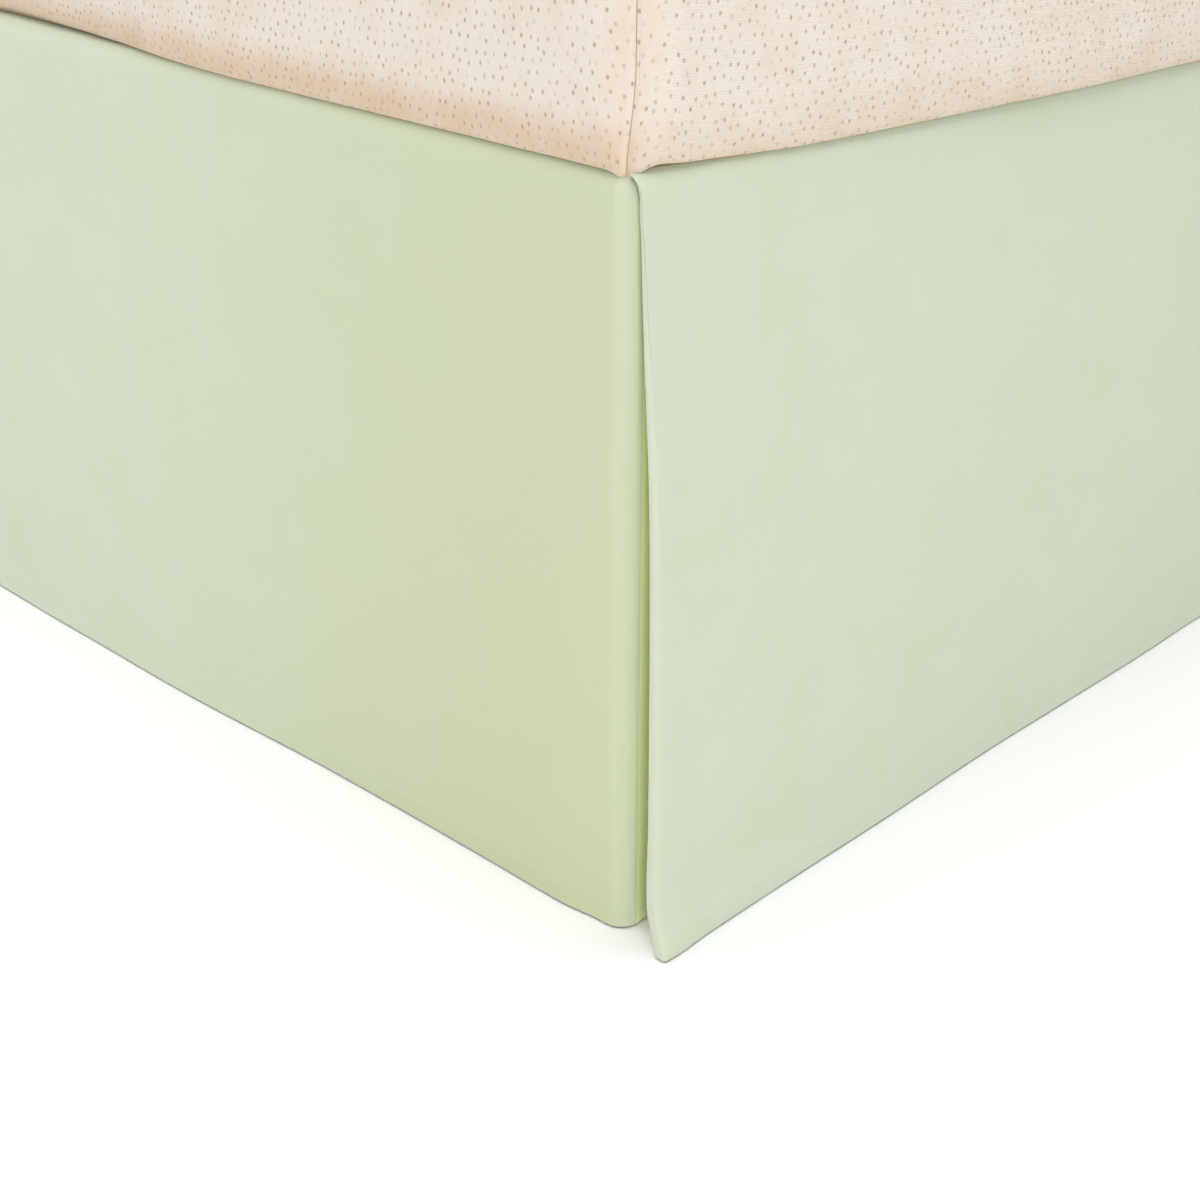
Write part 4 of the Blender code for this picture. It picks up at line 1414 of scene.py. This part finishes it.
def wood_material(bed):
    """Beech, turned, stained and varnished: long grain up the leg under a satin film."""
    ring, ring_run, pore, pore_run, pore_share = 0.006, 0.08, 0.0011, 0.05, 0.35
    name = "beech, turned and varnished"
    look = Shading(name, Roughness=0.42, Coat_Weight=0.25, Coat_Roughness=0.25)
    place = look.solid_place()
    ring_place = look.vector("MULTIPLY", place, (1 / ring, 1 / ring, ring_run / ring))
    rings = look.noise(ring_place, scale=1, detail=4, Distortion=0.6)
    pore_place = look.vector("MULTIPLY", place, (1 / pore, 1 / pore, pore_run / pore))
    pores = look.noise(pore_place, scale=1, detail=2)
    grain = look.math("MULTIPLY_ADD", pores, pore_share, rings)
    dark = look.share(grain, low=0.45, high=0.9)
    face = look.blend(dark, bed.wood_light, bed.wood_dark)
    return look.finish(face, pores, strength=0.25, distance=0.0001)


def floor_material(stage):
    """Matt white paint, rolled on board: even, with the roller's faint orange peel."""
    look = Shading("matt white paint, rolled", Roughness=0.95)
    peel = look.noise(look.solid_place(), scale=400, detail=2)
    return look.finish(look.darken(peel, stage.floor_colour, darkest=0.985))


# -------- stage
CAMERA_FROM_CORNER = Vector((0.5689, -0.5659, 0.1872))
CAMERA_YAW = -46.07
CAMERA_PITCH = 25.61
CAMERA_ROLL = 0.5
FLOOR_HALF = 12.0
FLOOR_DROP = 0.0002
OVERHEAD_SIZE = 4.5
OVERHEAD_PLACE = Vector((0.5, -0.6, 3.0))
SOFTBOX_SIZE = 2.0
KEY_PLACE = Vector((4.97, -4.07, 1.8))
FILL_PLACE = Vector((-2.6, -4.2, 1.8))


def aim(thing, target):
    thing.rotation_mode = "QUATERNION"
    thing.rotation_quaternion = (Vector(target) - thing.location).to_track_quat("-Z", "Y")


def add_softbox(name, place, target, size, power, colour):
    light = bpy.data.lights.new(name, "AREA")
    light.color = colour[:3]
    light.shape = "SQUARE"
    light.size = size
    light.energy = power
    thing = bpy.data.objects.new(name, light)
    thing.location = place
    aim(thing, target)
    bpy.context.scene.collection.objects.link(thing)


def make_camera(stage):
    """Camera at the photograph's angle, placed from the corner of the deck."""
    camera = bpy.data.cameras.new("camera")
    camera.lens = stage.lens
    camera.sensor_width = 36
    thing = bpy.data.objects.new("camera", camera)
    yaw, pitch, roll = (math.radians(x) for x in (CAMERA_YAW, CAMERA_PITCH, CAMERA_ROLL))
    level_share = math.cos(pitch)
    ahead = Vector((math.sin(yaw) * level_share, math.cos(yaw) * level_share, -math.sin(pitch)))
    level = Vector((math.cos(yaw), -math.sin(yaw), 0))
    upright = level.cross(ahead)
    right = level * math.cos(roll) + upright * math.sin(roll)
    up = upright * math.cos(roll) - level * math.sin(roll)
    turn = Matrix((right, up, -ahead)).transposed()
    corner = Vector((HALF_WIDTH, FOOT_Y, DECK_TOP))
    thing.matrix_world = Matrix.Translation(corner + CAMERA_FROM_CORNER) @ turn.to_4x4()
    bpy.context.scene.collection.objects.link(thing)
    bpy.context.scene.camera = thing


def make_stage(context):
    stage = context.scene.bed_stage
    bm = bmesh.new()
    bmesh.ops.create_grid(bm, x_segments=8, y_segments=8, size=FLOOR_HALF)
    mesh = bpy.data.meshes.new("floor")
    bm.to_mesh(mesh)
    bm.free()
    floor = bpy.data.objects.new("floor", mesh)
    floor.location.z = -FLOOR_DROP
    mesh.materials.append(floor_material(stage))
    context.scene.collection.objects.link(floor)
    world = bpy.data.worlds.new("white room")
    world.use_nodes = True
    background = world.node_tree.nodes["Background"]
    background.inputs["Color"].default_value = stage.sky_colour
    background.inputs["Strength"].default_value = stage.sky
    context.scene.world = world
    below = Vector((OVERHEAD_PLACE.x, OVERHEAD_PLACE.y, 0))
    corner = Vector((HALF_WIDTH, FOOT_Y, DECK_TOP / 2))
    tint = stage.light_colour
    add_softbox("overhead softbox", OVERHEAD_PLACE, below, OVERHEAD_SIZE, stage.overhead, tint)
    add_softbox("key softbox", KEY_PLACE, corner, SOFTBOX_SIZE, stage.key, tint)
    add_softbox("fill softbox", FILL_PLACE, corner, SOFTBOX_SIZE, stage.fill, tint)
    context.scene.view_settings.view_transform = "Standard"
    make_camera(stage)


# -------- operators and panel
class BEDSKIRT_OT_foot_drop(bpy.types.Operator):
    """Make the foot drop, which turns both corners and runs on under the side drops"""

    bl_idname = "bed_skirt.foot_drop"
    bl_label = "Foot drop"

    def execute(self, context):
        right = half_foot_columns(FOOT_RIGHT, SIDE_RIGHT)
        left = mirrored(half_foot_columns(FOOT_LEFT, SIDE_LEFT))
        shade_shares = half_foot_painted_shade()
        make_drop("foot_drop_cloth", "foot_drop", right + left[-2::-1], shade_shares + shade_shares[-2::-1], context)
        return {"FINISHED"}


class BEDSKIRT_OT_side_drops(bpy.types.Operator):
    """Make the two side drops, each with a pressed fold and a return at the foot corner"""

    bl_idname = "bed_skirt.side_drops"
    bl_label = "Side drops"

    def execute(self, context):
        right = side_columns(SIDE_RIGHT)
        left = mirrored(side_columns(SIDE_LEFT))
        make_drop("right_drop_cloth", "right_drop", right, side_painted_shade(right), context)
        make_drop("left_drop_cloth", "left_drop", left, side_painted_shade(left), context)
        return {"FINISHED"}


class BEDSKIRT_OT_deck(bpy.types.Operator):
    """Make the flat deck panel under the mattress"""

    bl_idname = "bed_skirt.deck"
    bl_label = "Deck panel"

    def execute(self, context):
        make_deck(context)
        return {"FINISHED"}


class BEDSKIRT_OT_mattress(bpy.types.Operator):
    """Make the mattress's knitted cover and its seams"""

    bl_idname = "bed_skirt.mattress"
    bl_label = "Mattress"

    def execute(self, context):
        make_mattress(context)
        return {"FINISHED"}


class BEDSKIRT_OT_box_spring(bpy.types.Operator):
    """Make the box spring's woven cover"""

    bl_idname = "bed_skirt.box_spring"
    bl_label = "Box spring"

    def execute(self, context):
        make_box_spring(context)
        return {"FINISHED"}


class BEDSKIRT_OT_legs(bpy.types.Operator):
    """Turn the six wooden legs"""

    bl_idname = "bed_skirt.legs"
    bl_label = "Legs"

    def execute(self, context):
        bed = context.scene.bed
        wood = wood_material(bed)
        for node in sorted(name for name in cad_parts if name.startswith("leg_")):
            make_leg(node, bed, wood)
        return {"FINISHED"}


class BEDSKIRT_OT_stage(bpy.types.Operator):
    """Set the floor, the soft studio light and the camera"""

    bl_idname = "bed_skirt.stage"
    bl_label = "Stage"

    def execute(self, context):
        make_stage(context)
        return {"FINISHED"}


PIECES = (
    BEDSKIRT_OT_box_spring,
    BEDSKIRT_OT_legs,
    BEDSKIRT_OT_deck,
    BEDSKIRT_OT_foot_drop,
    BEDSKIRT_OT_side_drops,
    BEDSKIRT_OT_mattress,
    BEDSKIRT_OT_stage,
)


class BEDSKIRT_PT_pieces(bpy.types.Panel):
    """Lists the settings and the pieces"""

    bl_idname = "BEDSKIRT_PT_pieces"
    bl_label = "Bed skirt"
    bl_space_type = "VIEW_3D"
    bl_region_type = "UI"
    bl_category = "Bed skirt"

    def draw(self, context):
        for group in (context.scene.bed_skirt, context.scene.bed, context.scene.bed_stage):
            box = self.layout.box()
            for name in group.bl_rna.properties.keys():
                if name not in ("name", "rna_type"):
                    box.prop(group, name)
        for piece in PIECES:
            self.layout.operator(piece.bl_idname)


CLASSES = (SkirtSettings, BedSettings, StageSettings, *PIECES, BEDSKIRT_PT_pieces)


def register():
    for each in CLASSES:
        bpy.utils.register_class(each)
    bpy.types.Scene.bed_skirt = PointerProperty(type=SkirtSettings)
    bpy.types.Scene.bed = PointerProperty(type=BedSettings)
    bpy.types.Scene.bed_stage = PointerProperty(type=StageSettings)


def unregister():
    del bpy.types.Scene.bed_stage
    del bpy.types.Scene.bed
    del bpy.types.Scene.bed_skirt
    for each in reversed(CLASSES):
        bpy.utils.unregister_class(each)


def main():
    register()
    for piece in PIECES:
        group, name = piece.bl_idname.split(".")
        getattr(getattr(bpy.ops, group), name)()


if __name__ == "__main__":
    main()
